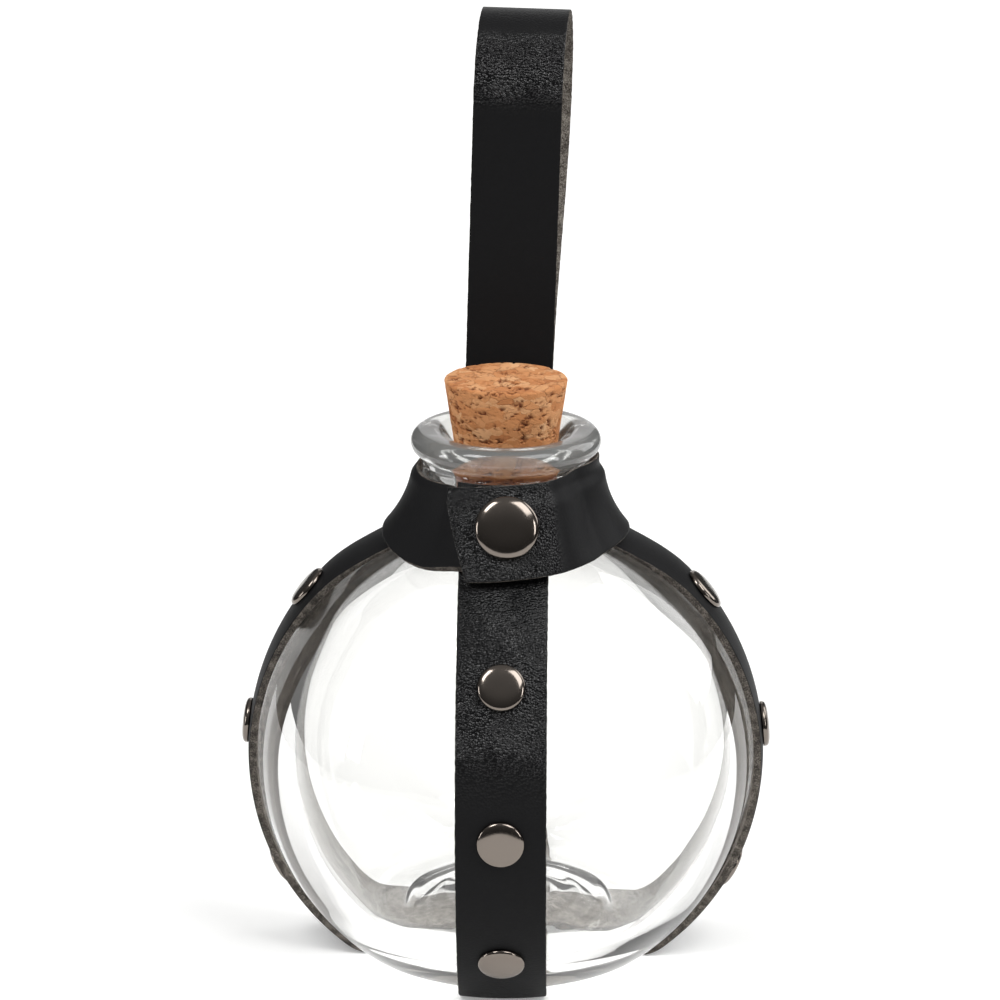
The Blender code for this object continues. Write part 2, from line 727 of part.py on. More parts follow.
def make_belt_loop(leather):
    """A folded strap: a ring whose two layers are cemented together at its foot."""
    hinge = loop_hinge()
    line = loop_centre_line()
    outer = offset_line(line, LEATHER / 2)
    inner = offset_line(line, -LEATHER / 2)
    foot_radius = LEATHER + SEAT_GAP / 2
    steps = 6
    outer += arc(hinge, foot_radius, 0.0, -math.pi, steps)
    crotch = (hinge[0], line[0][1])
    inner += arc(crotch, SEAT_GAP / 2, 0.0, -math.pi, steps)
    work = bmesh.new()
    rings = []
    for aside, outline in (
            (-LOOP_WIDTH / 2, outer), (LOOP_WIDTH / 2, outer),
            (LOOP_WIDTH / 2, inner), (-LOOP_WIDTH / 2, inner)):
        rings.append([
            work.verts.new((
                aside + LOOP_SKEW * (reach - hinge[0]) + LOOP_LEAN * (height - hinge[1]),
                reach - hinge[0], height - hinge[1]))
            for reach, height in outline])
    for first, second in zip(rings, rings[1:] + rings[:1]):
        count = len(first)
        for index in range(count):
            after = (index + 1) % count
            work.faces.new((first[index], first[after], second[after], second[index]))
    bmesh.ops.recalc_face_normals(work, faces=work.faces)
    place = Matrix.Translation(CENTRE + Vector((0.0, *hinge)))
    finish("belt_loop", work, leather, place)


def end_outline(width, length, corner):
    """A strap end seen flat: square at the top, with rounded lower corners."""
    half = width / 2
    lower = -length + corner
    right = arc((half - corner, lower), corner, 0.0, -math.pi / 2, 4)
    left = arc((-half + corner, lower), corner, -math.pi / 2, -math.pi, 4)
    return [(-half, 0.0), (half, 0.0)] + right + left


def make_loop_ends(leather):
    """The loop strap's two ends, riveted to the back of the collar."""
    foot_radius = LEATHER + SEAT_GAP / 2
    top = -LOOP_LIFT + foot_radius + SEAT_GAP
    length = 2 * LOOP_RIVET_DOWN - top
    plan = end_outline(LOOP_WIDTH, length - 1.5 * SEAT_GAP, LOOP_END_CORNER)
    seat = Flare.collar + LEATHER + SEAT_GAP
    for name, low in (("loop_front_end", seat), ("loop_back_end", seat + LAYER)):
        work = bmesh.new()
        points = [work.verts.new((aside, rise, 0.0)) for aside, rise in plan]
        face = work.faces.new(points)
        lifted = bmesh.ops.extrude_face_region(work, geom=[face])["geom"]
        moved = [piece for piece in lifted if isinstance(piece, bmesh.types.BMVert)]
        bmesh.ops.translate(work, verts=moved, vec=(0.0, 0.0, LEATHER))
        bmesh.ops.recalc_face_normals(work, faces=work.faces)
        end = finish(name, work, leather, Flare.place(180.0, low, top))
        loop = Flare.place(180.0, low, LOOP_RIVET_DOWN)
        pierce(end, [(shank_plug(-LEATHER, 2 * LEATHER, RIVET_SHANK_RADIUS), loop)])


def make_loop_rivet(gunmetal):
    """The rivet through both loop ends, the collar and the long strap's upper end."""
    place = Flare.place(180.0, Flare.collar, LOOP_RIVET_DOWN)
    seat = LEATHER + 2 * LAYER + SEAT_GAP
    back_top = -LAYER - SEAT_GAP - Flare.sag(BACK_CAP_RADIUS, LOOP_RIVET_DOWN)
    cap = cap_outline(
        RIVET_CAP_RADIUS, RIVET_CAP_HEIGHT, seat, RIVET_SHANK_RADIUS, back_top + SEAT_GAP)
    finish("loop_rivet_cap", turned(cap, CAP_SEGMENTS), gunmetal, place)
    back = disc_outline(BACK_CAP_RADIUS, back_top - BACK_CAP_THICKNESS, back_top)
    finish("loop_rivet_back", turned(back, BACK_CAP_SEGMENTS), gunmetal, place)


def main():
    for thing in list(bpy.data.objects):
        bpy.data.objects.remove(thing, do_unlink=True)
    glass = make_material("clear_glass", (0.86, 0.89, 0.87), 0.02, transmission=1.0)
    cork = make_material("natural_cork", (0.55, 0.30, 0.13), 0.85)
    leather = make_material("black_leather", (0.014, 0.014, 0.015), 0.5)
    gunmetal = make_material("gunmetal", (0.10, 0.095, 0.095), 0.22, metallic=1.0)
    make_bottle(glass)
    make_cork(cork)
    make_long_strap(leather)
    make_side_strap(leather)
    make_strap_rivets(gunmetal)
    make_collar(leather)
    flap = make_flap(leather)
    make_snap(gunmetal, flap)
    make_belt_loop(leather)
    make_loop_ends(leather)
    make_loop_rivet(gunmetal)


main()
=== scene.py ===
"""Looks for a corked ball bottle in a black leather harness with a belt loop.

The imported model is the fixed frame, and every piece here is made round it: the blown glass, the
cork, each leather strap with its grain side, flesh side and raw cut edge, and each rivet and snap
in polished gunmetal plate. Places are in metres on the frame's own axes: +Z up, -Y to the front.
Profiles are written as (reach, rise): the distance from the bottle's upright axis and the height
above the centre of the ball. Bearings are degrees round that axis, 0 at the front and 90 at +X.
"""

from __future__ import annotations

import logging
import math
from collections.abc import Callable, Iterable, Sequence
from dataclasses import dataclass, field
from enum import Enum
from functools import lru_cache
from itertools import pairwise

import bpy
from mathutils import Matrix, Vector, noise


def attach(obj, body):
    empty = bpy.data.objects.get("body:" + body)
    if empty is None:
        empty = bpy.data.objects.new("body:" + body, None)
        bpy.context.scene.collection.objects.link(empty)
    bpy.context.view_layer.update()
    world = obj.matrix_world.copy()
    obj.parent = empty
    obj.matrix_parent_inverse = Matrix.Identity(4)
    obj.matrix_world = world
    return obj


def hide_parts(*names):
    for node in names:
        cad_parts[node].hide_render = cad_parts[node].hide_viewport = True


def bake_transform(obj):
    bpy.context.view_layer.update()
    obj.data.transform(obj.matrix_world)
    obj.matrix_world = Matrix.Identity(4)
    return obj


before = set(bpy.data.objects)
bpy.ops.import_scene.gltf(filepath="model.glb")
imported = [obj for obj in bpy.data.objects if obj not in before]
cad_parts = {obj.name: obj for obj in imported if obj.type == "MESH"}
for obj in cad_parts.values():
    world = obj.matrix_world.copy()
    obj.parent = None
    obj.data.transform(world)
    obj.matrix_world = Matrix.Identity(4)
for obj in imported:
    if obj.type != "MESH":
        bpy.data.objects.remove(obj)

LOG = logging.getLogger("potion_bottle")
MM = 0.001
MERGE = 0.001 * MM

Outline = list[tuple[float, float]]
Place = Callable[[float, float], Vector]
Shares = Callable[[Vector], float]
Stops = tuple[tuple[float, str], ...]


class Body(Enum):
    """The bodies that a piece can ride on."""

    HARNESS = "bottle_and_harness"
    CORK = "cork"
    FLAP = "collar_flap"
    LOOP = "belt_loop"


class Slot(Enum):
    """The record's material slots."""

    GLASS = "glass"
    CORK = "cork"
    LEATHER = "leather"
    GUNMETAL = "gunmetal"


# Plane geometry


def arc(
    centre: tuple[float, float], radius: float, start: float, end: float, steps: int,
) -> Outline:
    """Gives points on an arc.

    Args:
        centre: The arc's centre, as (reach, rise).
        radius: Its radius.
        start: Its first angle in radians, 0 outwards and a quarter turn upwards.
        end: Its last angle.
        steps: How many chords it has.

    Returns:
        The points, both ends included.
    """
    angles = [start + (end - start) * step / steps for step in range(steps + 1)]
    return [(centre[0] + radius * math.cos(a), centre[1] + radius * math.sin(a)) for a in angles]


def smooth(value: float) -> float:
    """Gives an even ramp from 0 to 1 that starts and ends gently."""
    value = min(1.0, max(0.0, value))
    return value * value * (3.0 - 2.0 * value)


def mix(first: Sequence[float], second: Sequence[float], share: float) -> tuple[float, ...]:
    """Gives the point a given share of the way from the first to the second."""
    return tuple(a + (b - a) * share for a, b in zip(first, second))


def along(points: Outline, length: float) -> tuple[float, float]:
    """Gives the point at a length along a line of points, past its end if need be.

    Args:
        points: The line.
        length: The length from its first point.

    Returns:
        The point.
    """
    for start, end in pairwise(points):
        run = math.dist(start, end)
        if length <= run:
            break
        length -= run
    else:
        length += run
    return mix(start, end, length / run)


def total(points: Outline) -> float:
    """Gives the length of a line of points."""
    return sum(math.dist(start, end) for start, end in pairwise(points))


def offset_line(points: Outline, distance: float) -> Outline:
    """Moves a line of points to its left by a distance.

    Args:
        points: The line.
        distance: How far it moves.

    Returns:
        The moved line.
    """
    moved = []
    for index, point in enumerate(points):
        before = points[max(0, index - 1)]
        after = points[min(len(points) - 1, index + 1)]
        run = Vector((after[0] - before[0], after[1] - before[1])).normalized()
        moved.append((point[0] - run.y * distance, point[1] + run.x * distance))
    return moved


def bezier(handles: Sequence[tuple[float, float]], share: float) -> tuple[float, ...]:
    """Gives the point at a share of the way along a Bezier curve.

    Args:
        handles: The curve's handles, its two ends included.
        share: How far along the point is, from 0 to 1.

    Returns:
        The point.
    """
    while len(handles) > 1:
        handles = [mix(first, second, share) for first, second in pairwise(handles)]
    return handles[0]


# The shapes that several pieces share


@dataclass(frozen=True)
class BallForm:
    """The glass's outer form, which the leather lies on.

    The foot's radius is that of the flat which cuts the ball, before the heel is rounded.
    """

    ball_radius: float = 45.0 * MM
    neck_radius: float = 14.9 * MM
    neck_height: float = 17.9 * MM
    shoulder_fillet: float = 6.0 * MM
    foot_radius: float = 27.0 * MM
    heel_radius: float = 6.0 * MM
    seat_gap: float = 0.3 * MM
    leather: float = 1.4 * MM

    @property
    def foot_drop(self) -> float:
        """The depth of the foot below the ball's centre."""
        return math.sqrt(self.ball_radius ** 2 - self.foot_radius ** 2)

    @property
    def centre(self) -> Vector:
        """The ball's centre in the frame."""
        return Vector((0.0, 0.0, self.foot_drop + self.seat_gap + self.leather))

    @property
    def corner(self) -> float:
        """The height of the shoulder's corner, as if it had no fillet."""
        return math.sqrt(self.ball_radius ** 2 - self.neck_radius ** 2)

    @property
    def lip_top(self) -> float:
        """The height of the lip's top."""
        return self.corner + self.neck_height

    @property
    def layer(self) -> float:
        """What one layer of leather adds under the next."""
        return self.leather + self.seat_gap

    @property
    def heel(self) -> tuple[float, float]:
        """The centre of the heel's rounding."""
        rise = -self.foot_drop + self.heel_radius
        return math.sqrt((self.ball_radius - self.heel_radius) ** 2 - rise ** 2), rise

    def at(self, bearing: float, reach: float, rise: float) -> Vector:
        """Gives the point at a bearing round the bottle's axis, in the frame."""
        angle = math.radians(bearing)
        return self.centre + Vector((reach * math.sin(angle), -reach * math.cos(angle), rise))

    def facing(self, bearing: float, reach: float, rise: float, elevation: float) -> Matrix:
        """Gives a place whose +Z looks out from the bottle.

        Args:
            bearing: Round the axis, in degrees.
            reach: From the axis.
            rise: Above the ball's centre.
            elevation: How far the place looks up, in degrees.

        Returns:
            The place as a matrix.
        """
        tilt = math.radians(elevation)
        base = self.at(bearing, 0.0, 0.0)
        outwards = self.at(bearing, math.cos(tilt), math.sin(tilt)) - base
        upwards = self.at(bearing, -math.sin(tilt), math.cos(tilt)) - base
        turn = Matrix((upwards.cross(outwards), upwards, outwards)).transposed().to_4x4()
        return Matrix.Translation(self.at(bearing, reach, rise)) @ turn

    def shoulder(self, offset: float, steps: int = 16) -> tuple[Outline, float]:
        """Runs round the shoulder's hollow, from the neck to the ball.

        Args:
            offset: The distance outside the glass.
            steps: How many chords the hollow has.

        Returns:
            The points, and the angle on the ball where they end.
        """
        reach = self.neck_radius + self.shoulder_fillet
        rise = math.sqrt((self.ball_radius + self.shoulder_fillet) ** 2 - reach ** 2)
        end = math.atan2(rise, reach)
        radius = self.shoulder_fillet - offset
        return arc((reach, rise), radius, math.pi, math.pi + end, steps), end

    def ball_and_heel(self, offset: float, start: float) -> Outline:
        """Runs down the ball and round the heel.

        Args:
            offset: The distance outside the glass.
            start: The angle on the ball where the run starts.

        Returns:
            The points.
        """
        reach, rise = self.heel
        turn = math.atan2(rise, reach)
        ball = arc((0.0, 0.0), self.ball_radius + offset, start, turn, 72)
        heel = arc(self.heel, self.heel_radius + offset, turn, -math.pi / 2, 10)
        return ball + heel[1:]


@dataclass(frozen=True)
class ConeForm:
    """The cone that the strap's end, the collar and the flap share at the front and the back."""

    ball: BallForm = BallForm()
    flare: float = math.radians(22.0)  # of the cone's side from upright
    collar_rise: float = 11.6 * MM  # its top edge above the shoulder's corner
    bend_radius: float = 6.0 * MM  # where the strap comes out from under the collar
    lap_space: float = 1.2 * MM  # room for the snap between the two layers

    @property
    def collar_top(self) -> float:
        """The height of the collar's top edge."""
        return self.ball.corner + self.collar_rise

    @property
    def top_reach(self) -> float:
        """Where the strap's inner face meets the neck at the collar's top."""
        return self.ball.neck_radius + self.ball.seat_gap

    @property
    def strap(self) -> float:
        """The cone's distance from the ball's centre at the strap's inner face."""
        return self.top_reach * math.cos(self.flare) + self.collar_top * math.sin(self.flare)

    @property
    def top(self) -> float:
        """The run, down the cone, of the collar's top edge."""
        return self.top_reach * math.sin(self.flare) - self.collar_top * math.cos(self.flare)

    @property
    def collar(self) -> float:
        """The cone's distance at the collar's inner face."""
        return self.strap + self.ball.layer

    @property
    def flap(self) -> float:
        """The cone's distance at the flap's inner face."""
        return self.collar + self.ball.leather + self.lap_space

    def point(self, distance: float, run: float) -> tuple[float, float]:
        """Gives the point at a distance out from the ball's centre and a run down the cone."""
        sine, cosine = math.sin(self.flare), math.cos(self.flare)
        return cosine * distance + sine * run, sine * distance - cosine * run

    def profile(self, offset: float) -> tuple[Outline, float]:
        """Runs down the cone and round its lower bend.

        Args:
            offset: The distance outside the strap's inner face.

        Returns:
            The points, and the angle on the ball where they end.
        """
        reach = self.ball.ball_radius + self.ball.seat_gap + self.bend_radius
        bend = -math.sqrt(reach ** 2 - (self.strap + self.bend_radius) ** 2)
        centre = self.point(self.strap + self.bend_radius, bend)
        start = math.pi + self.flare
        end = math.pi + math.atan2(centre[1], centre[0])
        turn = arc(centre, self.bend_radius - offset, start, end, 16)
        return [self.point(self.strap + offset, self.top)] + turn, end - math.pi

    def facing(self, bearing: float, distance: float, down: float) -> Matrix:
        """Gives a place on the cone that looks straight out of it."""
        reach, rise = self.point(distance, self.top + down)
        return self.ball.facing(bearing, reach, rise, math.degrees(self.flare))


# Modelling by hand


def activate(piece: bpy.types.Object) -> None:
    """Selects one piece alone and makes it the active one.

    Args:
        piece: The piece.
    """
    bpy.ops.object.select_all(action="DESELECT")
    piece.select_set(True)
    bpy.context.view_layer.objects.active = piece


def name_new(name: str) -> bpy.types.Object:
    """Names the primitive that was just added, and its mesh.

    Args:
        name: Its name.

    Returns:
        The piece.
    """
    piece = bpy.context.object
    piece.name = name
    piece.data.name = name
    return piece


def draw_line(name: str, points: Sequence[Vector]) -> bpy.types.Object:
    """Draws a chain of edges by extruding one point from place to place.

    Args:
        name: The new piece's name.
        points: Where the chain goes.

    Returns:
        The piece, which has edges only.
    """
    bpy.ops.object.select_all(action="DESELECT")
    bpy.ops.mesh.primitive_plane_add(size=MM, location=points[0])
    piece = name_new(name)
    bpy.ops.object.mode_set(mode="EDIT")
    bpy.ops.mesh.select_mode(type="VERT")
    bpy.ops.mesh.select_all(action="SELECT")
    bpy.ops.mesh.merge(type="CENTER")
    for here, there in pairwise(points):
        bpy.ops.mesh.extrude_vertices_move(TRANSFORM_OT_translate={"value": there - here})
    bpy.ops.object.mode_set(mode="OBJECT")
    bpy.ops.object.transform_apply(location=True, rotation=True, scale=True)
    return piece


def spin_round(piece: bpy.types.Object, segments: int) -> None:
    """Spins a drawn outline round the upright axis and closes its seam and its poles.

    Args:
        piece: The outline, which has edges only.
        segments: How many sides the solid gets.
    """
    activate(piece)
    bpy.ops.object.mode_set(mode="EDIT")
    bpy.ops.mesh.select_all(action="SELECT")
    bpy.ops.mesh.spin(steps=segments, angle=math.tau, center=(0, 0, 0), axis=(0, 0, 1))
    bpy.ops.mesh.select_all(action="SELECT")
    bpy.ops.mesh.remove_doubles(threshold=MERGE)
    bpy.ops.mesh.normals_make_consistent(inside=False)
    bpy.ops.object.mode_set(mode="OBJECT")


def turned(name: str, outline: Outline, segments: int, lift: float = 0.0) -> bpy.types.Object:
    """Makes a solid of revolution.

    Args:
        name: The new piece's name.
        outline: Its section, on the axis at both ends or closed.
        segments: How many sides it has round the axis.
        lift: The height of the outline's zero in the frame.

    Returns:
        The piece.
    """
    piece = draw_line(name, [Vector((reach, 0.0, rise + lift)) for reach, rise in outline])
    spin_round(piece, segments)
    return piece


def grid(name: str, cells: tuple[int, int], place: Place) -> bpy.types.Object:
    """Lays a flat grid out on a surface.

    Args:
        name: The new piece's name.
        cells: How many cells it has along and across.
        place: Gives the point for a share along and a share across.

    Returns:
        The piece.
    """
    bpy.ops.object.select_all(action="DESELECT")
    bpy.ops.mesh.primitive_grid_add(x_subdivisions=cells[0], y_subdivisions=cells[1], size=2.0)
    piece = name_new(name)
    for vertex in piece.data.vertices:
        vertex.co = place((vertex.co.x + 1.0) / 2.0, (vertex.co.y + 1.0) / 2.0)
    return piece


def modify(piece: bpy.types.Object, kind: str, settings: dict[str, object]) -> None:
    """Adds a modifier with its settings and applies it.

    Args:
        piece: The piece.
        kind: The modifier's type name.
        settings: Values for the modifier's properties.
    """
    activate(piece)
    modifier = piece.modifiers.new(kind.lower(), kind)
    for setting, value in settings.items():
        setattr(modifier, setting, value)
    bpy.ops.object.modifier_apply(modifier=modifier.name)


def flip(piece: bpy.types.Object) -> None:
    """Turns every face over.

    Args:
        piece: The piece.
    """
    activate(piece)
    bpy.ops.object.mode_set(mode="EDIT")
    bpy.ops.mesh.select_all(action="SELECT")
    bpy.ops.mesh.flip_normals()
    bpy.ops.object.mode_set(mode="OBJECT")


def copy_at(piece: bpy.types.Object, name: str, place: Matrix) -> bpy.types.Object:
    """Copies a piece with its own mesh and works the copy's place into that mesh.

    Args:
        piece: The pattern, at the frame's origin.
        name: The copy's name.
        place: Where the copy goes.

    Returns:
        The copy.
    """
    activate(piece)
    bpy.ops.object.duplicate(linked=False)
    copy = name_new(name)
    copy.data.transform(place)
    return copy


def shade(piece: bpy.types.Object, degrees: float = 40.0) -> None:
    """Shades a piece smooth, apart from its edges that are sharper than an angle."""
    activate(piece)
    bpy.ops.object.shade_smooth_by_angle(angle=math.radians(degrees))


def remove(piece: bpy.types.Object) -> None:
    """Takes away a pattern piece that copies were made from."""
    bpy.data.objects.remove(piece, do_unlink=True)


def settle(piece: bpy.types.Object, body: Body, slot: Slot, *nodes: str) -> None:
    """Lets a piece ride on a body, in the place of CAD nodes, and reports it.

    Args:
        piece: The finished piece.
        body: The body that carries it.
        slot: The material slot that its finish belongs to.
        nodes: The CAD nodes that it stands for.
    """
    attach(piece, body.value)
    enter(piece, slot, *nodes)


def enter(piece: bpy.types.Object, slot: Slot, *nodes: str) -> None:
    """Hides the CAD nodes that a piece stands for, and reports it.

    Args:
        piece: The finished piece.
        slot: The material slot. Not used.
        nodes: The CAD nodes.
    """
    if nodes:
        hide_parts(*nodes)
    LOG.info("%s: %d faces", piece.name, len(piece.data.polygons))


# Finishes


def colour(code: str) -> tuple[float, float, float, float]:
    """Turns an sRGB hex colour to the linear one that a shader takes.

    Args:
        code: The colour, as # and six hex digits.

    Returns:
        Red, green, blue and an alpha of 1.
    """
    parts = [int(code[start:start + 2], 16) / 255.0 for start in (1, 3, 5)]
    linear = [p / 12.92 if p <= 0.04045 else ((p + 0.055) / 1.055) ** 2.4 for p in parts]
    return (*linear, 1.0)


def feed(
    tree: bpy.types.NodeTree,
    node: bpy.types.Node,
    settings: dict[str | int, object] | None = None,
    links: dict[str | int, bpy.types.NodeSocket | bpy.types.Node] | None = None,
) -> bpy.types.Node:
    """Gives a node its settings and links.

    Args:
        tree: The node tree.
        node: The node.
        settings: Values for the node's own properties or its input sockets, and for a colour
            ramp its "stops", each a position and an sRGB hex colour.
        links: What each named or numbered input takes its value from: an output socket, or a
            node whose first output is meant.

    Returns:
        The node.
    """
    for key, value in (settings or {}).items():
        if key == "stops":
            elements = node.color_ramp.elements
            for index, (position, code) in enumerate(value):
                element = elements[index] if index < len(elements) else elements.new(position)
                element.position = position
                element.color = colour(code)
        elif isinstance(key, str) and hasattr(node, key):
            setattr(node, key, value)
        else:
            node.inputs[key].default_value = value
    for key, source in (links or {}).items():
        output = source.outputs[0] if isinstance(source, bpy.types.Node) else source
        tree.links.new(output, node.inputs[key])
    return node


def add_node(
    tree: bpy.types.NodeTree,
    kind: str,
    settings: dict[str | int, object] | None = None,
    links: dict[str | int, bpy.types.NodeSocket | bpy.types.Node] | None = None,
) -> bpy.types.Node:
    """Adds a node of a kind, with its settings and links as feed takes them."""
    return feed(tree, tree.nodes.new(kind), settings, links)


def new_material(name: str) -> tuple[bpy.types.Material, bpy.types.NodeTree, bpy.types.Node]:
    """Makes a material and gives it, its node tree and its Principled shader.

    Args:
        name: The material's name.

    Returns:
        The material, its node tree and its shader.
    """
    material = bpy.data.materials.new(name)
    material.use_nodes = True
    return material, material.node_tree, material.node_tree.nodes["Principled BSDF"]


@dataclass(frozen=True)
class BlownGlass:
    """Clear soda-lime glass, blown in a two-part mould.

    It is bright and nearly free of colour, bends what is behind it hard at its edges and has a
    slight unevenness. The lip is rubbed faintly matt, so it looks soft and milky there.
    """

    tint: str = "#fdfdfc"
    lip_tint: str = "#dfe0dd"
    index: float = 1.52
    wave_width: float = 9.0 * MM
    wave_height: float = 0.01 * MM
    lip_foot: float = 93.0 * MM  # the matt lip fades in between these two heights
    lip_top: float = 96.5 * MM
    lip_roughness: float = 0.14
    lip_clearness: float = 0.82

    def make(self) -> bpy.types.Material:
        """Makes the material.

        Returns:
            The material.
        """
        material, tree, shader = new_material("blown_soda_lime_glass")
        where = add_node(tree, "ShaderNodeTexCoord").outputs["Object"]
        waves = add_node(
            tree, "ShaderNodeTexNoise", {"Scale": 1.0 / self.wave_width, "Detail": 1.0},
            {"Vector": where})
        bump = add_node(
            tree, "ShaderNodeBump", {"Distance": self.wave_height, "Strength": 1.0},
            {"Height": waves})
        height = add_node(tree, "ShaderNodeSeparateXYZ", None, {"Vector": where}).outputs["Z"]
        climb = {"From Min": self.lip_foot, "From Max": self.lip_top}
        for socket, body, lip in (
                ("Roughness", 0.0, self.lip_roughness),
                ("Transmission Weight", 1.0, self.lip_clearness)):
            fade = add_node(
                tree, "ShaderNodeMapRange", climb | {"To Min": body, "To Max": lip},
                {"Value": height})
            feed(tree, shader, {socket: body}, {socket: fade})
        at_lip = add_node(tree, "ShaderNodeMapRange", climb, {"Value": height})
        tone = add_node(
            tree, "ShaderNodeMix",
            {"data_type": "RGBA", 6: colour(self.tint), 7: colour(self.lip_tint)}, {0: at_lip})
        feed(
            tree, shader, {"IOR": self.index, "Base Color": colour(self.tint)},
            {"Base Color": tone.outputs[2], "Normal": bump})
        return material


@dataclass(frozen=True)
class GranulatedCork:
    """Cork granules pressed with a binder and turned to a taper, left unfinished.

    Each granule has its own tan, with dark ragged cracks and pits between them. Below the neck
    line its colour is darkened, as painted shade of the neck and the collar round it.
    """

    granule: float = 2.6 * MM
    flatness: float = 1.9  # granules are this much wider than high
    raggedness: float = 1.5 * MM
    ragged_width: float = 1.6 * MM
    fleck: float = 0.7 * MM
    patch: float = 3.0 * MM
    grain_height: float = 0.25 * MM
    neck_line: float = 92.0 * MM  # above the table, where the painted shade of the neck begins
    neck_blur: float = 3.0 * MM
    tans: Stops = ((0.0, "#b27044"), (0.3, "#c98856"), (0.7, "#d59a69"), (1.0, "#e3b386"))
    fleck_mask: Stops = ((0.22, "#b0b0b0"), (0.47, "#000000"))
    crack_mask: Stops = ((0.012, "#c8c8c8"), (0.07, "#000000"))
    patch_mask: Stops = ((0.42, "#000000"), (0.58, "#ffffff"))
    fleck_colour: str = "#86502e"
    pit_colour: str = "#78442a"
    # painted shade: the colour that the cork is darkened by below the neck line
    neck_shade_tint: str = "#937c6e"

    def make(self) -> bpy.types.Material:
        """Makes the material.

        Returns:
            The material.
        """
        material, tree, shader = new_material("pressed_cork")
        where = add_node(tree, "ShaderNodeTexCoord").outputs["Object"]
        warp = add_node(
            tree, "ShaderNodeTexNoise", {"Scale": 1.0 / self.ragged_width, "Detail": 3.0},
            {"Vector": where})
        bent = add_node(
            tree, "ShaderNodeVectorMath",
            {"operation": "MULTIPLY_ADD", 1: (self.raggedness,) * 3},
            {0: warp.outputs["Color"], 2: where})
        flat = add_node(
            tree, "ShaderNodeMapping", {"Scale": (1.0, 1.0, self.flatness)}, {"Vector": bent})
        granules = add_node(
            tree, "ShaderNodeTexVoronoi", {"Scale": 1.0 / self.granule}, {"Vector": flat})
        cracks = add_node(
            tree, "ShaderNodeTexVoronoi",
            {"feature": "DISTANCE_TO_EDGE", "Scale": 1.0 / self.granule}, {"Vector": flat})
        flecks = add_node(
            tree, "ShaderNodeTexNoise",
            {"Scale": 1.0 / self.fleck, "Detail": 6.0, "Roughness": 0.7}, {"Vector": flat})
        patches = add_node(
            tree, "ShaderNodeTexNoise", {"Scale": 1.0 / self.patch, "Detail": 3.0},
            {"Vector": where})
        tan, in_fleck, in_crack, in_patch = (
            add_node(tree, "ShaderNodeValToRGB", {"stops": stops}, {"Fac": source})
            for stops, source in (
                (self.tans, granules.outputs["Color"]), (self.fleck_mask, flecks),
                (self.crack_mask, cracks), (self.patch_mask, patches)))
        open_crack = add_node(
            tree, "ShaderNodeMath", {"operation": "MULTIPLY"}, {0: in_crack, 1: in_patch})
        dark = add_node(
            tree, "ShaderNodeMath", {"operation": "MAXIMUM", "use_clamp": True},
            {0: open_crack, 1: in_fleck})
        pit = add_node(tree, "ShaderNodeAttribute", {"attribute_name": "pit"}).outputs["Fac"]
        height = add_node(tree, "ShaderNodeSeparateXYZ", None, {"Vector": where}).outputs["Z"]
        # painted shade of the neck and collar, from the neck line down
        in_neck_shade = add_node(
            tree, "ShaderNodeMapRange",
            {"From Min": self.neck_line + self.neck_blur, "From Max": self.neck_line},
            {"Value": height})
        tone = tan.outputs["Color"]
        for blend, share, code in (
                ("MIX", dark, self.fleck_colour), ("MIX", pit, self.pit_colour),
                ("MULTIPLY", in_neck_shade, self.neck_shade_tint)):
            tone = add_node(
                tree, "ShaderNodeMix",
                {"data_type": "RGBA", "blend_type": blend, 7: colour(code)},
                {0: share, 6: tone}).outputs[2]
        relief = add_node(
            tree, "ShaderNodeMath", {"operation": "SUBTRACT"}, {0: flecks, 1: dark})
        bump = add_node(
            tree, "ShaderNodeBump", {"Distance": self.grain_height, "Strength": 0.8},
            {"Height": relief})
        feed(
            tree, shader, {"Roughness": 0.88, "Specular IOR Level": 0.25},
            {"Base Color": tone, "Normal": bump})
        return material


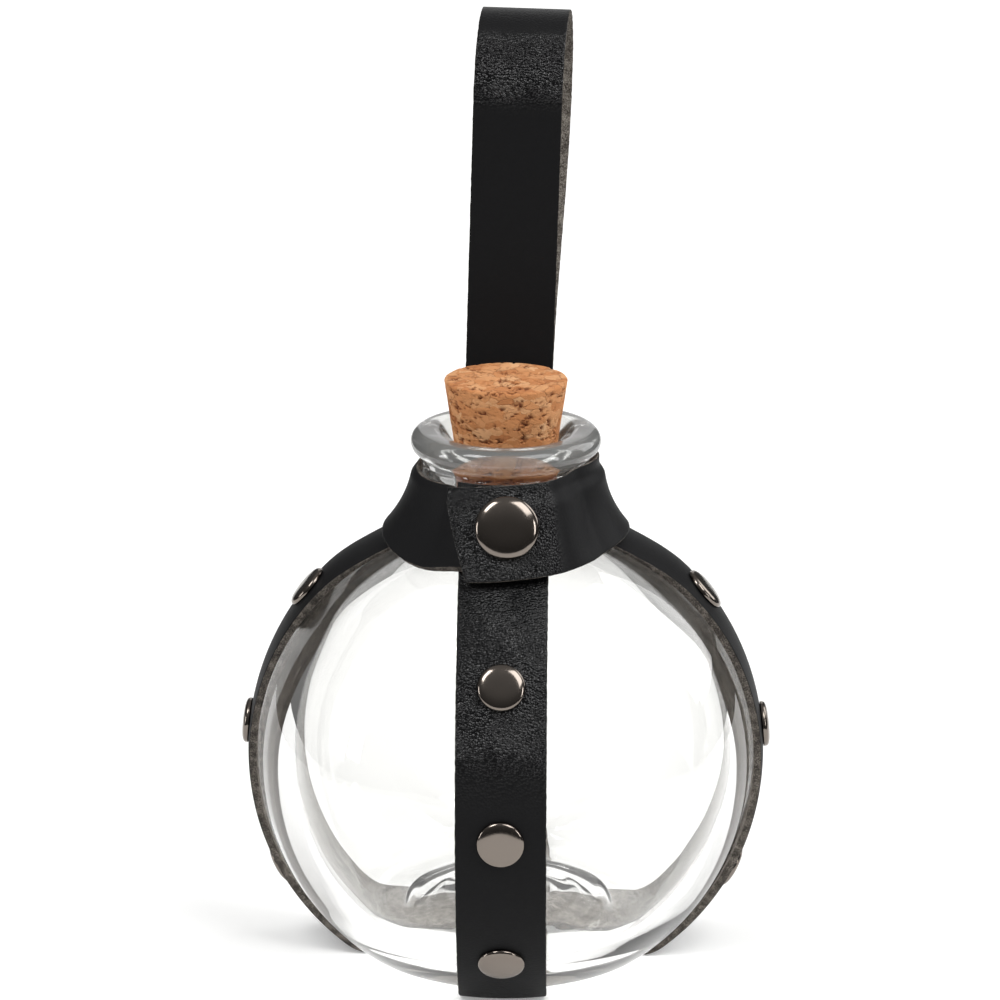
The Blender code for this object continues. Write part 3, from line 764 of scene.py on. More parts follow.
@dataclass(frozen=True)
class GrainLeather:
    """Chrome-tanned cowhide, printed with a pebble grain and dyed black.

    Small rounded pebbles sparkle where the leather is slack, and are pressed to a soft black sheen
    where it is pulled tight: the attribute "relief" says how far they stand up. The pores are
    drawn a little coarser than real ones, so that they show.
    """

    pebble: float = 0.43 * MM
    pebble_height: float = 0.31 * MM
    raggedness: float = 0.2 * MM
    ragged_width: float = 0.7 * MM
    pore: float = 0.14 * MM
    pore_height: float = 0.01 * MM
    roll: float = 5.0 * MM  # width of the patches in which the grain is a little flatter
    # lighter on the pebbles and darker in the valleys between them: painted shade in the valleys
    pebble_tones_and_valley_shade: Stops = ((0.0, "#141415"), (0.5, "#101011"), (1.0, "#080808"))
    pressed_colour: str = "#1b1b1c"
    pressed_gloss: tuple[float, float] = (0.03, 0.55)  # specular level and roughness
    slack_gloss: tuple[float, float] = (0.3, 0.13)  # the same

    def make(self) -> bpy.types.Material:
        """Makes the material.

        Returns:
            The material.
        """
        material, tree, shader = new_material("pebbled_black_leather")
        where, slack = (
            add_node(tree, "ShaderNodeAttribute", {"attribute_name": name}).outputs[output]
            for name, output in (("rest_place", "Vector"), ("relief", "Fac")))
        warp = add_node(
            tree, "ShaderNodeTexNoise", {"Scale": 1.0 / self.ragged_width, "Detail": 2.0},
            {"Vector": where})
        bent = add_node(
            tree, "ShaderNodeVectorMath",
            {"operation": "MULTIPLY_ADD", 1: (self.raggedness,) * 3},
            {0: warp.outputs["Color"], 2: where})
        pebbles = add_node(
            tree, "ShaderNodeTexVoronoi",
            {"feature": "SMOOTH_F1", "Scale": 1.0 / self.pebble, "Smoothness": 0.12},
            {"Vector": bent})
        pores, rolls = (
            add_node(
                tree, "ShaderNodeTexNoise", {"Scale": 1.0 / width, "Detail": detail},
                {"Vector": where})
            for width, detail in ((self.pore, 3.0), (self.roll, 2.0)))
        # painted shade: the colour darkens from each pebble's middle to the valleys round it
        tone = add_node(tree, "ShaderNodeValToRGB", {"stops": self.pebble_tones_and_valley_shade}, {"Fac": pebbles})
        grain_colour_with_valley_shade = add_node(
            tree, "ShaderNodeMix", {"data_type": "RGBA", 6: colour(self.pressed_colour)},
            {0: slack, 7: tone})
        patchy = add_node(
            tree, "ShaderNodeMapRange",
            {"From Min": 0.3, "From Max": 0.7, "To Min": 0.6, "To Max": 1.0}, {"Value": rolls})
        relief = add_node(
            tree, "ShaderNodeMath", {"operation": "MULTIPLY"}, {0: patchy, 1: slack})
        coarse = add_node(
            tree, "ShaderNodeBump", {"Distance": self.pebble_height, "invert": True},
            {"Height": pebbles, "Strength": relief})
        fine = add_node(
            tree, "ShaderNodeBump", {"Distance": self.pore_height, "Strength": 1.0},
            {"Height": pores, "Normal": coarse})
        feed(tree, shader, None, {"Base Color": grain_colour_with_valley_shade.outputs[2], "Normal": fine})
        sockets = ("Specular IOR Level", "Roughness")
        for socket, low, high in zip(sockets, self.pressed_gloss, self.slack_gloss):
            between = add_node(
                tree, "ShaderNodeMapRange", {"To Min": low, "To Max": high}, {"Value": slack})
            feed(tree, shader, {socket: (low + high) / 2.0}, {socket: between})
        return material


@dataclass(frozen=True)
class FibrousLeather:
    """The leather's flesh side or its raw cut edge: split fibres with no finish.

    It is matt and speckled, a grey-brown where the dye soaked in unevenly. The fibres are drawn
    several times coarser than real ones, so that they show.
    """

    name: str
    stops: Stops
    fibre: float = 0.25 * MM
    fibre_height: float = 0.15 * MM
    clump: float = 1.5 * MM
    clump_share: float = 0.5

    def make(self) -> bpy.types.Material:
        """Makes the material.

        Returns:
            The material.
        """
        material, tree, shader = new_material(self.name)
        where = add_node(
            tree, "ShaderNodeAttribute", {"attribute_name": "rest_place"}).outputs["Vector"]
        fibres = add_node(
            tree, "ShaderNodeTexNoise",
            {"Scale": 1.0 / self.fibre, "Detail": 4.0, "Roughness": 0.65}, {"Vector": where})
        clumps = add_node(
            tree, "ShaderNodeTexNoise", {"Scale": 1.0 / self.clump, "Detail": 3.0},
            {"Vector": where})
        both = add_node(
            tree, "ShaderNodeMath", {"operation": "MULTIPLY_ADD", 1: self.clump_share},
            {0: clumps, 2: fibres})
        tone = add_node(tree, "ShaderNodeValToRGB", {"stops": self.stops}, {"Fac": both})
        bump = add_node(
            tree, "ShaderNodeBump", {"Distance": self.fibre_height, "Strength": 1.0},
            {"Height": fibres})
        feed(
            tree, shader, {"Roughness": 0.95, "Specular IOR Level": 0.2},
            {"Base Color": tone, "Normal": bump})
        return material


@dataclass(frozen=True)
class Gunmetal:
    """Brass stampings with a polished black-nickel plate, the colour of gunmetal.

    A warm dark mirror with a little cloudiness from handling.
    """

    plate: str = "#7c746d"
    cloud: float = 1.6 * MM
    cloud_height: float = 0.004 * MM
    roughness: tuple[float, float] = (0.08, 0.2)

    def make(self) -> bpy.types.Material:
        """Makes the material.

        Returns:
            The material.
        """
        material, tree, shader = new_material("polished_gunmetal_plate")
        where = add_node(tree, "ShaderNodeTexCoord").outputs["Object"]
        clouds = add_node(
            tree, "ShaderNodeTexNoise", {"Scale": 1.0 / self.cloud, "Detail": 4.0},
            {"Vector": where})
        low, high = self.roughness
        blur = add_node(
            tree, "ShaderNodeMapRange", {"To Min": low, "To Max": high}, {"Value": clouds})
        bump = add_node(
            tree, "ShaderNodeBump", {"Distance": self.cloud_height, "Strength": 1.0},
            {"Height": clouds})
        feed(
            tree, shader, {"Base Color": colour(self.plate), "Metallic": 1.0},
            {"Roughness": blur, "Normal": bump})
        return material


@dataclass
class Finishes:
    """One material for each finish."""

    glass: bpy.types.Material = field(default_factory=lambda: BlownGlass().make())
    cork: bpy.types.Material = field(default_factory=lambda: GranulatedCork().make())
    gunmetal: bpy.types.Material = field(default_factory=lambda: Gunmetal().make())
    grain: bpy.types.Material = field(default_factory=lambda: GrainLeather().make())
    flesh: bpy.types.Material = field(default_factory=lambda: FibrousLeather(
        "leather_flesh_side", ((0.5, "#25221f"), (0.7, "#554f49"), (0.9, "#969088"))).make())
    edge: bpy.types.Material = field(default_factory=lambda: FibrousLeather(
        "leather_cut_edge", ((0.45, "#1d1b1a"), (0.7, "#3f3b37"), (0.95, "#7d766e"))).make())


# The glass and the cork


@dataclass(frozen=True)
class Cork:
    """The tapered stopper, with the pits and ragged granules of its turned side."""

    ball: BallForm = BallForm()
    length: float = 21.5 * MM
    top_radius: float = 10.95 * MM
    taper: float = 0.147  # loss of radius for each unit of depth
    proud: float = 9.1 * MM  # above the lip
    edge: float = 0.6 * MM
    pit_depth: float = 0.55 * MM
    pit_width: float = 1.7 * MM
    pit_flatness: float = 1.8  # pits are this much wider than high
    pit_threshold: float = 0.16
    pit_softness: float = 0.3
    swell: float = 0.072 * MM
    swell_width: float = 2.4 * MM
    shrink: float = 0.03 * MM  # keeps the lumps inside the turned size
    segments: int = 220
    side_rows: int = 90
    foot_rings: int = 12
    top_rings: int = 34

    @property
    def top(self) -> float:
        """The height of its top face."""
        return self.ball.lip_top + self.proud

    def radius(self, rise: float) -> float:
        """Gives the taper's radius at a height, as if it had no rounded edge."""
        return self.top_radius - self.taper * (self.top - rise)

    def outline(self) -> Outline:
        """Runs from the middle of the foot out, up the side and in to the middle of the top.

        Returns:
            The points, as (reach, rise).
        """
        foot = self.top - self.length
        low, high = foot + self.edge, self.top - self.edge
        across = self.radius(foot) - self.edge
        rows, foot_rings, top_rings = self.side_rows, self.foot_rings, self.top_rings
        side = [low + (high - low) * step / rows for step in range(rows + 1)]
        inward = self.radius(self.top) - self.edge
        return (
            [(across * step / foot_rings, foot) for step in range(foot_rings + 1)]
            + arc((across, low), self.edge, -math.pi / 2, 0.0, 4)[1:-1]
            + [(self.radius(rise), rise) for rise in side]
            + arc((inward, high), self.edge, 0.0, math.pi / 2, 4)[1:]
            + [(inward * (1.0 - step / top_rings), self.top) for step in range(1, top_rings + 1)])

    def pit(self, place: Vector) -> float:
        """Gives the depth of the pit at a place, as a share of the deepest.

        Args:
            place: A place on the turned cork.

        Returns:
            The depth, from 0 to 1.
        """
        place = Vector((place.x, place.y, place.z * self.pit_flatness))
        wide = noise.noise(place / self.pit_width)
        small = noise.noise(place / (self.pit_width * 0.4) + Vector((7.0, 3.0, 1.0)))
        ragged = noise.noise(place / (self.pit_width * 0.17))
        depth = wide * 0.6 + small * 0.5 + ragged * 0.25 - self.pit_threshold
        return smooth(depth / self.pit_softness)

    def build(self, finishes: Finishes) -> None:
        """Turns the cork, pits it and lets it ride on its own body.

        Args:
            finishes: The materials.
        """
        piece = turned("cork_stopper", self.outline(), self.segments, self.ball.centre.z)
        depths = piece.data.attributes.new("pit", "FLOAT", "POINT")
        middle = Vector((0.0, 0.0, self.ball.centre.z + self.top - self.length / 2))
        shares = []
        for vertex in piece.data.vertices:
            share = self.pit(vertex.co)
            lump = self.swell * noise.noise(vertex.co / self.swell_width) - self.shrink
            inward = (middle - vertex.co).normalized()
            vertex.co += inward * (share * self.pit_depth - lump)
            shares.append(share)
        depths.data.foreach_set("value", shares)
        piece.data.materials.append(finishes.cork)
        shade(piece, 50.0)
        settle(piece, Body.CORK, Slot.CORK, "cork")


@dataclass(frozen=True)
class GlassBottle:
    """The blown ball with its fat rounded lip, its hollow foot and its crowned inner floor."""

    ball: BallForm = BallForm()
    cork: Cork = Cork()
    wall: float = 5.3 * MM
    foot_thickness: float = 6.4 * MM
    inner_heel_radius: float = 8.0 * MM
    dish_edge: float = 20.0 * MM
    dish_spare: float = 1.6 * MM
    floor_crown: float = 1.4 * MM
    ring_reach: float = 16.7 * MM  # the floor's pressed ring, from the axis
    ring_height: float = 0.2 * MM
    ring_blur: float = 2.6 * MM
    ripple: float = 0.09 * MM
    ripple_width: float = 5.2 * MM
    ripple_fades: tuple[float, float] = (4.0 * MM, 2.0 * MM)  # from the middle and from the edge
    throat_fillet: float = 6.0 * MM
    neck_wall: float = 4.2 * MM
    waist: float = 4.0 * MM  # height over which the neck narrows into the bore
    bead_radius: float = 2.3 * MM
    # Where the bead runs into the neck: past the neck, and below the bead.
    under_bead: tuple[tuple[float, float], ...] = ((0.15 * MM, 0.9 * MM), (0.0, 2.2 * MM))
    lip_overhang: float = 2.0 * MM
    mouth_rounding: float = 6.0 * MM
    mouth_squareness: float = 0.75  # 1 for a round way in, less for a squarer one
    unevenness: float = 0.12 * MM
    unevenness_width: float = 16.0 * MM
    uneven_within: float = 30.0 * MM  # of the ball's middle height
    uneven_fades: tuple[float, float] = (12.0 * MM, 8.0 * MM)  # above and below that
    off_centre: float = 0.7 * MM  # of the inner wall, to the right
    segments: int = 192

    def under(self) -> Outline:
        """Runs over the hollow under the foot, from its edge to the middle.

        Returns:
            The points, as (reach, rise).
        """
        depth = self.ball.layer + self.ball.seat_gap + self.dish_spare
        steps = 24
        reaches = [self.dish_edge * (1.0 - step / steps) for step in range(steps + 1)]
        return [
            (reach, -self.ball.foot_drop + depth * (1.0 - (reach / self.dish_edge) ** 2))
            for reach in reaches]

    def floor(self) -> Outline:
        """Runs over the crowned inner floor with its ring and ripples, from the middle out.

        Returns:
            The points, as (reach, rise).
        """
        low = -self.ball.foot_drop + self.foot_thickness
        from_middle, from_edge = self.ripple_fades
        points = []
        steps = 60
        for step in range(steps + 1):
            reach = self.dish_edge * step / steps
            crown = self.floor_crown * (1.0 - (reach / self.dish_edge) ** 2)
            ring = self.ring_height * smooth((self.ring_reach - reach) / self.ring_blur)
            waves = self.ripple * math.sin(math.tau * reach / self.ripple_width)
            fade = smooth(reach / from_middle) * smooth((self.dish_edge - reach) / from_edge)
            points.append((reach, low + crown + ring + waves * fade))
        return points

    def outline(self) -> Outline:
        """Runs round the glass's section, down the outside and up the inside, and closes it.

        Returns:
            The points, as (reach, rise).
        """
        ball = self.ball
        bead = (
            ball.neck_radius + self.lip_overhang - self.bead_radius,
            ball.lip_top - self.bead_radius)
        lip = arc(bead, self.bead_radius, math.pi / 2, -math.pi / 3, 24)
        hollow, ball_start = ball.shoulder(0.0, 20)
        tuck = [(ball.neck_radius + past, lip[-1][1] - below) for past, below in self.under_bead]
        outside = lip + tuck + hollow + ball.ball_and_heel(0.0, ball_start)[1:]

        inner = ball.ball_radius - self.wall
        corner_rise = -ball.foot_drop + self.foot_thickness + self.inner_heel_radius
        corner_reach = math.sqrt((inner - self.inner_heel_radius) ** 2 - corner_rise ** 2)
        turn = math.atan2(corner_rise, corner_reach)
        heel = arc((corner_reach, corner_rise), self.inner_heel_radius, -math.pi / 2, turn, 14)

        mouth = ball.lip_top - self.mouth_rounding
        bore = self.cork.radius(mouth) + ball.seat_gap
        neck = ball.neck_radius - self.neck_wall
        throat_reach = neck + self.throat_fillet
        throat_rise = math.sqrt((inner + self.throat_fillet) ** 2 - throat_reach ** 2)
        throat_turn = math.atan2(throat_rise, throat_reach)
        inside = arc((0.0, 0.0), inner, turn, throat_turn, 70)
        throat = arc(
            (throat_reach, throat_rise), self.throat_fillet, math.pi + throat_turn, math.pi, 14)
        steps = 16
        waist = [
            (neck + (bore - neck) * smooth(share), mouth - self.waist * (1.0 - share))
            for share in (step / steps for step in range(steps))]
        rounding = [
            (bead[0] - (bead[0] - bore) * math.cos(quarter) ** self.mouth_squareness,
             mouth + self.mouth_rounding * math.sin(quarter))
            for quarter in (math.pi / 2 * step / steps for step in range(steps))]
        rounding.append((bead[0], ball.lip_top))
        return (
            outside + self.under() + self.floor() + heel + inside[1:-1] + throat + waist
            + rounding)

    def unsettle(self, piece: bpy.types.Object) -> None:
        """Gives the inner wall the unevenness of blown glass, which is thicker on the left.

        Args:
            piece: The spun glass.
        """
        limit = self.ball.ball_radius - 0.6 * self.wall
        above, below = self.uneven_fades
        for vertex in piece.data.vertices:
            spoke = vertex.co - self.ball.centre
            inside = smooth((limit - spoke.length) / (0.2 * self.wall))
            low_enough = smooth((self.uneven_within - spoke.z) / above)
            high_enough = smooth((spoke.z + self.uneven_within) / below)
            push = noise.noise(vertex.co / self.unevenness_width) * self.unevenness
            moved = spoke.normalized() * push + Vector((self.off_centre, 0.0, 0.0))
            vertex.co += moved * inside * low_enough * high_enough

    def build(self, finishes: Finishes) -> None:
        """Spins the glass, dresses it and lets it carry the harness.

        Args:
            finishes: The materials.
        """
        piece = turned("glass_bottle", self.outline(), self.segments, self.ball.centre.z)
        self.unsettle(piece)
        piece.data.materials.append(finishes.glass)
        shade(piece, 60.0)
        piece.visible_shadow = False
        settle(piece, Body.HARNESS, Slot.GLASS, "bottle")


# Leather


@dataclass(frozen=True)
class LeatherStock:
    """The leather that every strap is cut from, and how its cut edge looks."""

    thickness: float = 1.4 * MM
    rounding: float = 0.22 * MM
    rounded_above: float = 55.0  # edges sharper than this, in degrees
    ragged: float = 0.07 * MM  # how far the cut edge wanders
    ragged_width: float = 0.7 * MM

    def cut(
        self, name: str, cells: tuple[int, int], flesh_face: Place, relief: Shares, skive: Shares,
        finishes: Finishes, over: bool,
    ) -> bpy.types.Object:
        """Cuts a strap whose flesh side lies on a surface.

        Args:
            name: The new piece's name.
            cells: How many cells it has along and across.
            flesh_face: The surface, from a share along and a share across.
            relief: How far the grain stands up at a place, from 0 to 1.
            skive: The share of the leather's thickness that is left at a place.
            finishes: The materials.
            over: Whether the surface has to be turned over to face the glass.

        Returns:
            The strap, with its flesh side, grain side and cut edge each in its own material.
        """
        piece = grid(name, cells, flesh_face)
        if over:
            flip(piece)
        for material in (finishes.flesh, finishes.grain, finishes.edge):
            piece.data.materials.append(material)
        kept = piece.vertex_groups.new(name="kept")
        for vertex in piece.data.vertices:
            kept.add([vertex.index], skive(vertex.co), "REPLACE")
        modify(piece, "SOLIDIFY", {
            "thickness": self.thickness, "offset": -1.0, "use_even_offset": True,
            "vertex_group": kept.name, "material_offset": 1, "material_offset_rim": 2})
        modify(piece, "BEVEL", {
            "width": self.rounding, "segments": 2, "limit_method": "ANGLE",
            "angle_limit": math.radians(self.rounded_above)})
        self.fray(piece)
        keep_rest(piece)
        heights = piece.data.attributes.new("relief", "FLOAT", "POINT")
        heights.data.foreach_set("value", [relief(vertex.co) for vertex in piece.data.vertices])
        shade(piece, 75.0)
        return piece

    def fray(self, piece: bpy.types.Object) -> None:
        """Makes the cut edge a little ragged.

        Args:
            piece: The strap, with its cut edge in the third material.
        """
        mesh = piece.data
        cut_faces = (face for face in mesh.polygons if face.material_index == 2)
        rim = {index for face in cut_faces for index in face.vertices}
        pushes = {}
        for index in rim:
            vertex = mesh.vertices[index]
            wander = noise.noise(vertex.co / self.ragged_width)
            fine = noise.noise(vertex.co / (self.ragged_width * 0.3))
            pushes[index] = vertex.normal * (wander + 0.6 * fine) * self.ragged
        for index, push in pushes.items():
            mesh.vertices[index].co += push


def pressed(_: Vector) -> float:
    """Gives how far the grain stands up where the leather was pressed smooth."""
    return 0.1


def unpared(_: Vector) -> float:
    """Gives the share of its thickness that leather keeps where it isn't skived."""
    return 1.0


def keep_rest(piece: bpy.types.Object) -> None:
    """Notes where each point lies at rest, so that the grain stays put when the leather bends.

    Args:
        piece: The cut strap.
    """
    attribute = piece.data.attributes.new("rest_place", "FLOAT_VECTOR", "POINT")
    places = [value for vertex in piece.data.vertices for value in vertex.co]
    attribute.data.foreach_set("vector", places)


@dataclass(frozen=True)
class Straps:
    """The long strap over the front and back, and the side strap that crosses above it."""

    cone: ConeForm = ConeForm()
    stock: LeatherStock = LeatherStock()
    width: float = 15.2 * MM
    dish_edge: float = 20.0 * MM  # where the hollow under the foot begins
    crossing_margin: float = 0.9 * MM  # the lift goes on this far past the other strap
    cell: float = 0.62 * MM  # side of the mesh's cells
    skived_from: float = 44.0  # latitudes on the ball, in degrees
    skived_to: float = 60.0
    skived_share: float = 0.5
    stray: float = 1.1 * MM  # of the back half, sideways
    least_relief: float = 0.12
    grain_from: float = 2.0 * MM  # above the ball's centre
    grain_over: float = 16.0 * MM

    def relief(self, place: Vector) -> float:
        """Gives how far the grain stands up: fully on top of the ball, hardly below its middle."""
        rise = place.z - self.cone.ball.centre.z - self.grain_from
        return self.least_relief + (1.0 - self.least_relief) * smooth(rise / self.grain_over)

    def skive(self, place: Vector) -> float:
        """Gives the share of its thickness that the side strap keeps towards its ends.

        Args:
            place: A place on the flesh side.

        Returns:
            The share, from 0 to 1.
        """
        spoke = place - self.cone.ball.centre
        latitude = math.degrees(math.asin(spoke.z / spoke.length))
        pared = smooth((latitude - self.skived_from) / (self.skived_to - self.skived_from))
        return 1.0 - self.skived_share * pared

    def long_half(self) -> Outline:
        """Runs down the long strap's flesh side, from its end under the collar to the foot.

        Returns:
            The points, as (reach, rise).
        """
        ball = self.cone.ball
        flared, start = self.cone.profile(0.0)
        low = -ball.foot_drop - ball.seat_gap
        return flared + ball.ball_and_heel(ball.seat_gap, start)[1:] + [(0.0, low)]

    def side_half(self) -> Outline:
        """Runs down the side strap's flesh side, from its end in the hollow to the foot.

        Returns:
            The points, as (reach, rise).
        """
        ball = self.cone.ball
        steps = 20
        hollow, start = ball.shoulder(ball.seat_gap, steps)
        tucked = hollow[steps // 5:]
        low = -ball.foot_drop - ball.seat_gap
        level = self.width / 2 + self.crossing_margin
        ramp = self.dish_edge - level
        lifted = [
            (level + ramp * (1.0 - share), low + ball.layer * smooth(share))
            for share in (step / steps for step in range(steps + 1))]
        run = tucked + ball.ball_and_heel(ball.seat_gap, start)[1:] + lifted
        return run + [(0.0, lifted[-1][1])]

    def face(self, half: Outline, bearing: float) -> Place:
        """Gives the surface that a strap's flesh side lies on.

        The back half of the strap that starts at the front strays a little to one side.

        Args:
            half: The strap's run from its end to the middle of the foot.
            bearing: The side that it starts on.

        Returns:
            The surface, from a share along and a share across.
        """
        ball = self.cone.ball
        length = total(half)
        heel_reach, heel_rise = ball.heel
        sideways = ball.at(bearing + 90.0, 1.0, 0.0) - ball.centre

        def place(u: float, v: float) -> Vector:
            """Gives the point for a share along and a share across.

            Args:
                u: The share along.
                v: The share across.

            Returns:
                The point.
            """
            way = 1.0 if u < 0.5 else -1.0
            reach, rise = along(half, length * (1.0 - abs(2.0 * u - 1.0)))
            aside = self.width * (v - 0.5)
            if bearing == 0.0 and u > 0.5:
                aside += self.stray * math.sin(math.tau * u) * abs(math.sin(math.tau * u))
            on_foot = rise < heel_rise and reach < heel_reach
            round_of = heel_reach if on_foot else reach
            forth = way * reach * math.sqrt(1.0 - (aside / round_of) ** 2)
            return ball.at(bearing, forth, rise) + sideways * aside

        return place

    def build(self, finishes: Finishes) -> None:
        """Cuts both straps and lets them ride with the bottle.

        Args:
            finishes: The materials.
        """
        runs = (
            ("front_and_back", "front_back", self.long_half(), 0.0, self.relief, unpared),
            ("side_to_side", "side", self.side_half(), 90.0, pressed, self.skive))
        for name, node, half, bearing, relief, skive in runs:
            cells = (round(2 * total(half) / self.cell), round(self.width / self.cell))
            piece = self.stock.cut(
                f"{name}_strap", cells, self.face(half, bearing), relief, skive, finishes, True)
            settle(piece, Body.HARNESS, Slot.LEATHER, f"{node}_strap")


@dataclass(frozen=True)
class Collar:
    """The band round the neck, in two pieces that meet behind the belt loop.

    The wrap runs from the back round the right side and over the front as the flap. The underlap
    runs from the back round the left side and ends under the flap.
    """

    cone: ConeForm = ConeForm()
    stock: LeatherStock = LeatherStock()
    width: float = 15.5 * MM
    flap_width: float = 15.7 * MM
    flared_to: float = 15.0  # it is a cone up to here, from front and back
    hugs_from: float = 38.0  # and hugs the neck from here
    # The bend from the neck to the ball, out and down from the top edge.
    hollow: tuple[float, float] = (0.6 * MM, 6.9 * MM)
    strap_half_turn: float = 17.0  # of each strap under it, in degrees
    sinks_over: float = 28.0
    drape: float = 0.8  # how far it sinks between the straps, as a share
    # The lower edge's angle on the ball, in degrees: at the front, then at the side.
    edge_turns: tuple[float, float] = (60.8, 62.8)
    edge_climbs_from: float = 15.0
    strap_bulge: float = 0.8 * MM
    tilt: float = 0.6 * MM  # the top edge rises and dips by this
    spare: float = 0.5 * MM  # how far the top edge stands above its line
    side_rise: float = 1.2 * MM  # higher at the right side, lower at the left
    side_stand: float = 1.0 * MM  # further out at the top of the right side
    skive_depth: float = 2.4 * MM
    skived_share: float = 0.65
    grain_middle: float = -4.0  # bearing of the slack part
    grain_half_turn: float = 23.0
    grain_blur: float = 9.0
    least_relief: float = 0.1
    underlap_end: float = 16.0
    tuck: float = 0.09  # of the underlap's top edge, as a share of the width
    tuck_from: float = 322.0
    tuck_over: float = 16.0
    hinge: float = 36.0  # bearing at which the flap bends away
    flap_rises_from: float = 54.0
    lap_margin: float = 2.0  # degrees before the underlap's end
    flap_top_end: float = -29.5
    flap_sag: float = 1.4 * MM
    flap_foot_end: float = -13.8
    flap_droop: float = 1.8 * MM  # how much lower its free end hangs
    bend_before: float = 2.0 * MM
    bend_after: float = 6.0 * MM
    mean_flare: float = 6.0 * MM  # for counting the cells
    cell: float = 0.6 * MM

    def lift(self, bearing: float) -> float:
        """Gives how far the collar stands off for the strap under it, from 0 to 1."""
        from_strap = abs((bearing + 45.0) % 90.0 - 45.0)
        return 1.0 - self.drape * smooth((from_strap - self.strap_half_turn) / self.sinks_over)

    @lru_cache(maxsize=None)
    def cone_line(self) -> Outline:
        """Gives the line that the collar follows where it is a cone, over the long strap.

        Returns:
            The points, as (reach, rise).
        """
        ball = self.cone.ball
        line, end = self.cone.profile(ball.layer)
        offset = ball.seat_gap + ball.layer
        return line + arc((0.0, 0.0), ball.ball_radius + offset, end, end - 0.3, 12)[1:]

    def hug(self, bearing: float, share: float) -> tuple[float, float]:
        """Gives a point on the flesh side where the collar hugs the neck and the shoulder.

        Args:
            bearing: Round the axis, in degrees.
            share: How far down from the top edge, from 0 to 1.

        Returns:
            The section's point, as (reach, rise).
        """
        ball = self.cone.ball
        turn = abs((bearing + 90.0) % 180.0 - 90.0)
        climb = smooth((turn - self.edge_climbs_from) / (90.0 - self.edge_climbs_from))
        low, high = self.edge_turns
        edge_turn = math.radians(low + (high - low) * climb)
        radius = ball.ball_radius + ball.seat_gap + self.strap_bulge * self.lift(bearing)
        top = (self.cone.top_reach, self.cone.collar_top)
        middle = (top[0] + self.hollow[0], top[1] - self.hollow[1])
        edge = (radius * math.cos(edge_turn), radius * math.sin(edge_turn))
        return bezier((top, middle, edge), share)

    def flesh(self, bearing: float, share: float) -> tuple[float, float]:
        """Gives a point on the collar's flesh side, from a share down from its top edge.

        Args:
            bearing: Round the axis, in degrees.
            share: How far down from the top edge, from 0 to 1.

        Returns:
            The section's point, as (reach, rise).
        """
        turn = abs((bearing + 90.0) % 180.0 - 90.0)
        flared = 1.0 - smooth((turn - self.flared_to) / (self.hugs_from - self.flared_to))
        turn = math.radians(bearing)
        spare = self.spare + self.side_rise * math.sin(turn)
        down = share - (self.tilt * math.sin(2 * turn) + spare * (1.0 - share)) / self.width
        reach, rise = mix(
            self.hug(bearing, down), along(self.cone_line(), self.width * down), flared)
        return reach + self.side_stand * max(0.0, math.sin(turn)) ** 3 * (1.0 - share), rise

    def relief(self, place: Vector) -> float:
        """Gives how far the grain stands up: fully on the flap, hardly on the moulded side.

        Args:
            place: A place on the leather.

        Returns:
            The relief, from 0 to 1.
        """
        bearing = math.degrees(math.atan2(place.x, -place.y))
        past = abs(bearing - self.grain_middle) - self.grain_half_turn
        return 1.0 - (1.0 - self.least_relief) * smooth(past / self.grain_blur)

    def skive(self, place: Vector) -> float:
        """Gives the share of its thickness that the leather keeps: it is pared at the top edge."""
        down = self.cone.ball.centre.z + self.cone.collar_top - place.z
        return 1.0 - self.skived_share * (1.0 - smooth(down / self.skive_depth))

    def flap_flesh(self, bearing: float, share: float) -> tuple[float, float]:
        """Gives a point on the flap's flesh side, from a share down from its top edge.

        Args:
            bearing: Round the axis, in degrees.
            share: How far down from the top edge, from 0 to 1.

        Returns:
            The section's point, as (reach, rise).
        """
        rises_to = self.underlap_end + self.lap_margin
        lifted = smooth((self.flap_rises_from - bearing) / (self.flap_rises_from - rises_to))
        past = self.hinge - bearing
        droop = self.flap_droop * max(0.0, past) / (self.hinge - self.flap_foot_end)
        sag = self.flap_sag * (past / (self.hinge - self.flap_top_end)) ** 2
        run = self.cone.top + sag + (self.flap_width + droop - sag) * share
        straight = self.cone.point(self.cone.flap, run)
        return mix(self.flesh(bearing, share), straight, lifted)

    def wrap_face(self, u: float, v: float) -> Vector:
        """Gives a point on the wrap's flesh side: u runs from the back to the flap's cut end.

        Args:
            u: The share along.
            v: The share down.

        Returns:
            The point.
        """
        end = self.flap_top_end + (self.flap_foot_end - self.flap_top_end) * v
        bearing = 180.0 + (end - 180.0) * u
        section = self.flesh if bearing > self.flap_rises_from else self.flap_flesh
        return self.cone.ball.at(bearing, *section(bearing, v))

    def underlap_face(self, u: float, v: float) -> Vector:
        """Gives a point on the underlap's flesh side: u runs from the back to its cut end.

        Args:
            u: The share along.
            v: The share down.

        Returns:
            The point.
        """
        bearing = 180.0 + (180.0 + self.underlap_end) * u
        tucked = self.tuck * smooth((bearing - self.tuck_from) / self.tuck_over)
        return self.cone.ball.at(bearing, *self.flesh(bearing, v + (1.0 - v) * tucked))

    def hinge_place(self) -> tuple[Vector, Vector]:
        """Gives the middle of the flap's hinge and the way towards the flap's cut end.

        Returns:
            The middle, and a unit vector.
        """
        middle = self.cone.ball.at(self.hinge, *self.flesh(self.hinge, 0.5))
        turn = math.radians(self.hinge)
        return middle, Vector((-math.cos(turn), -math.sin(turn), 0.0))

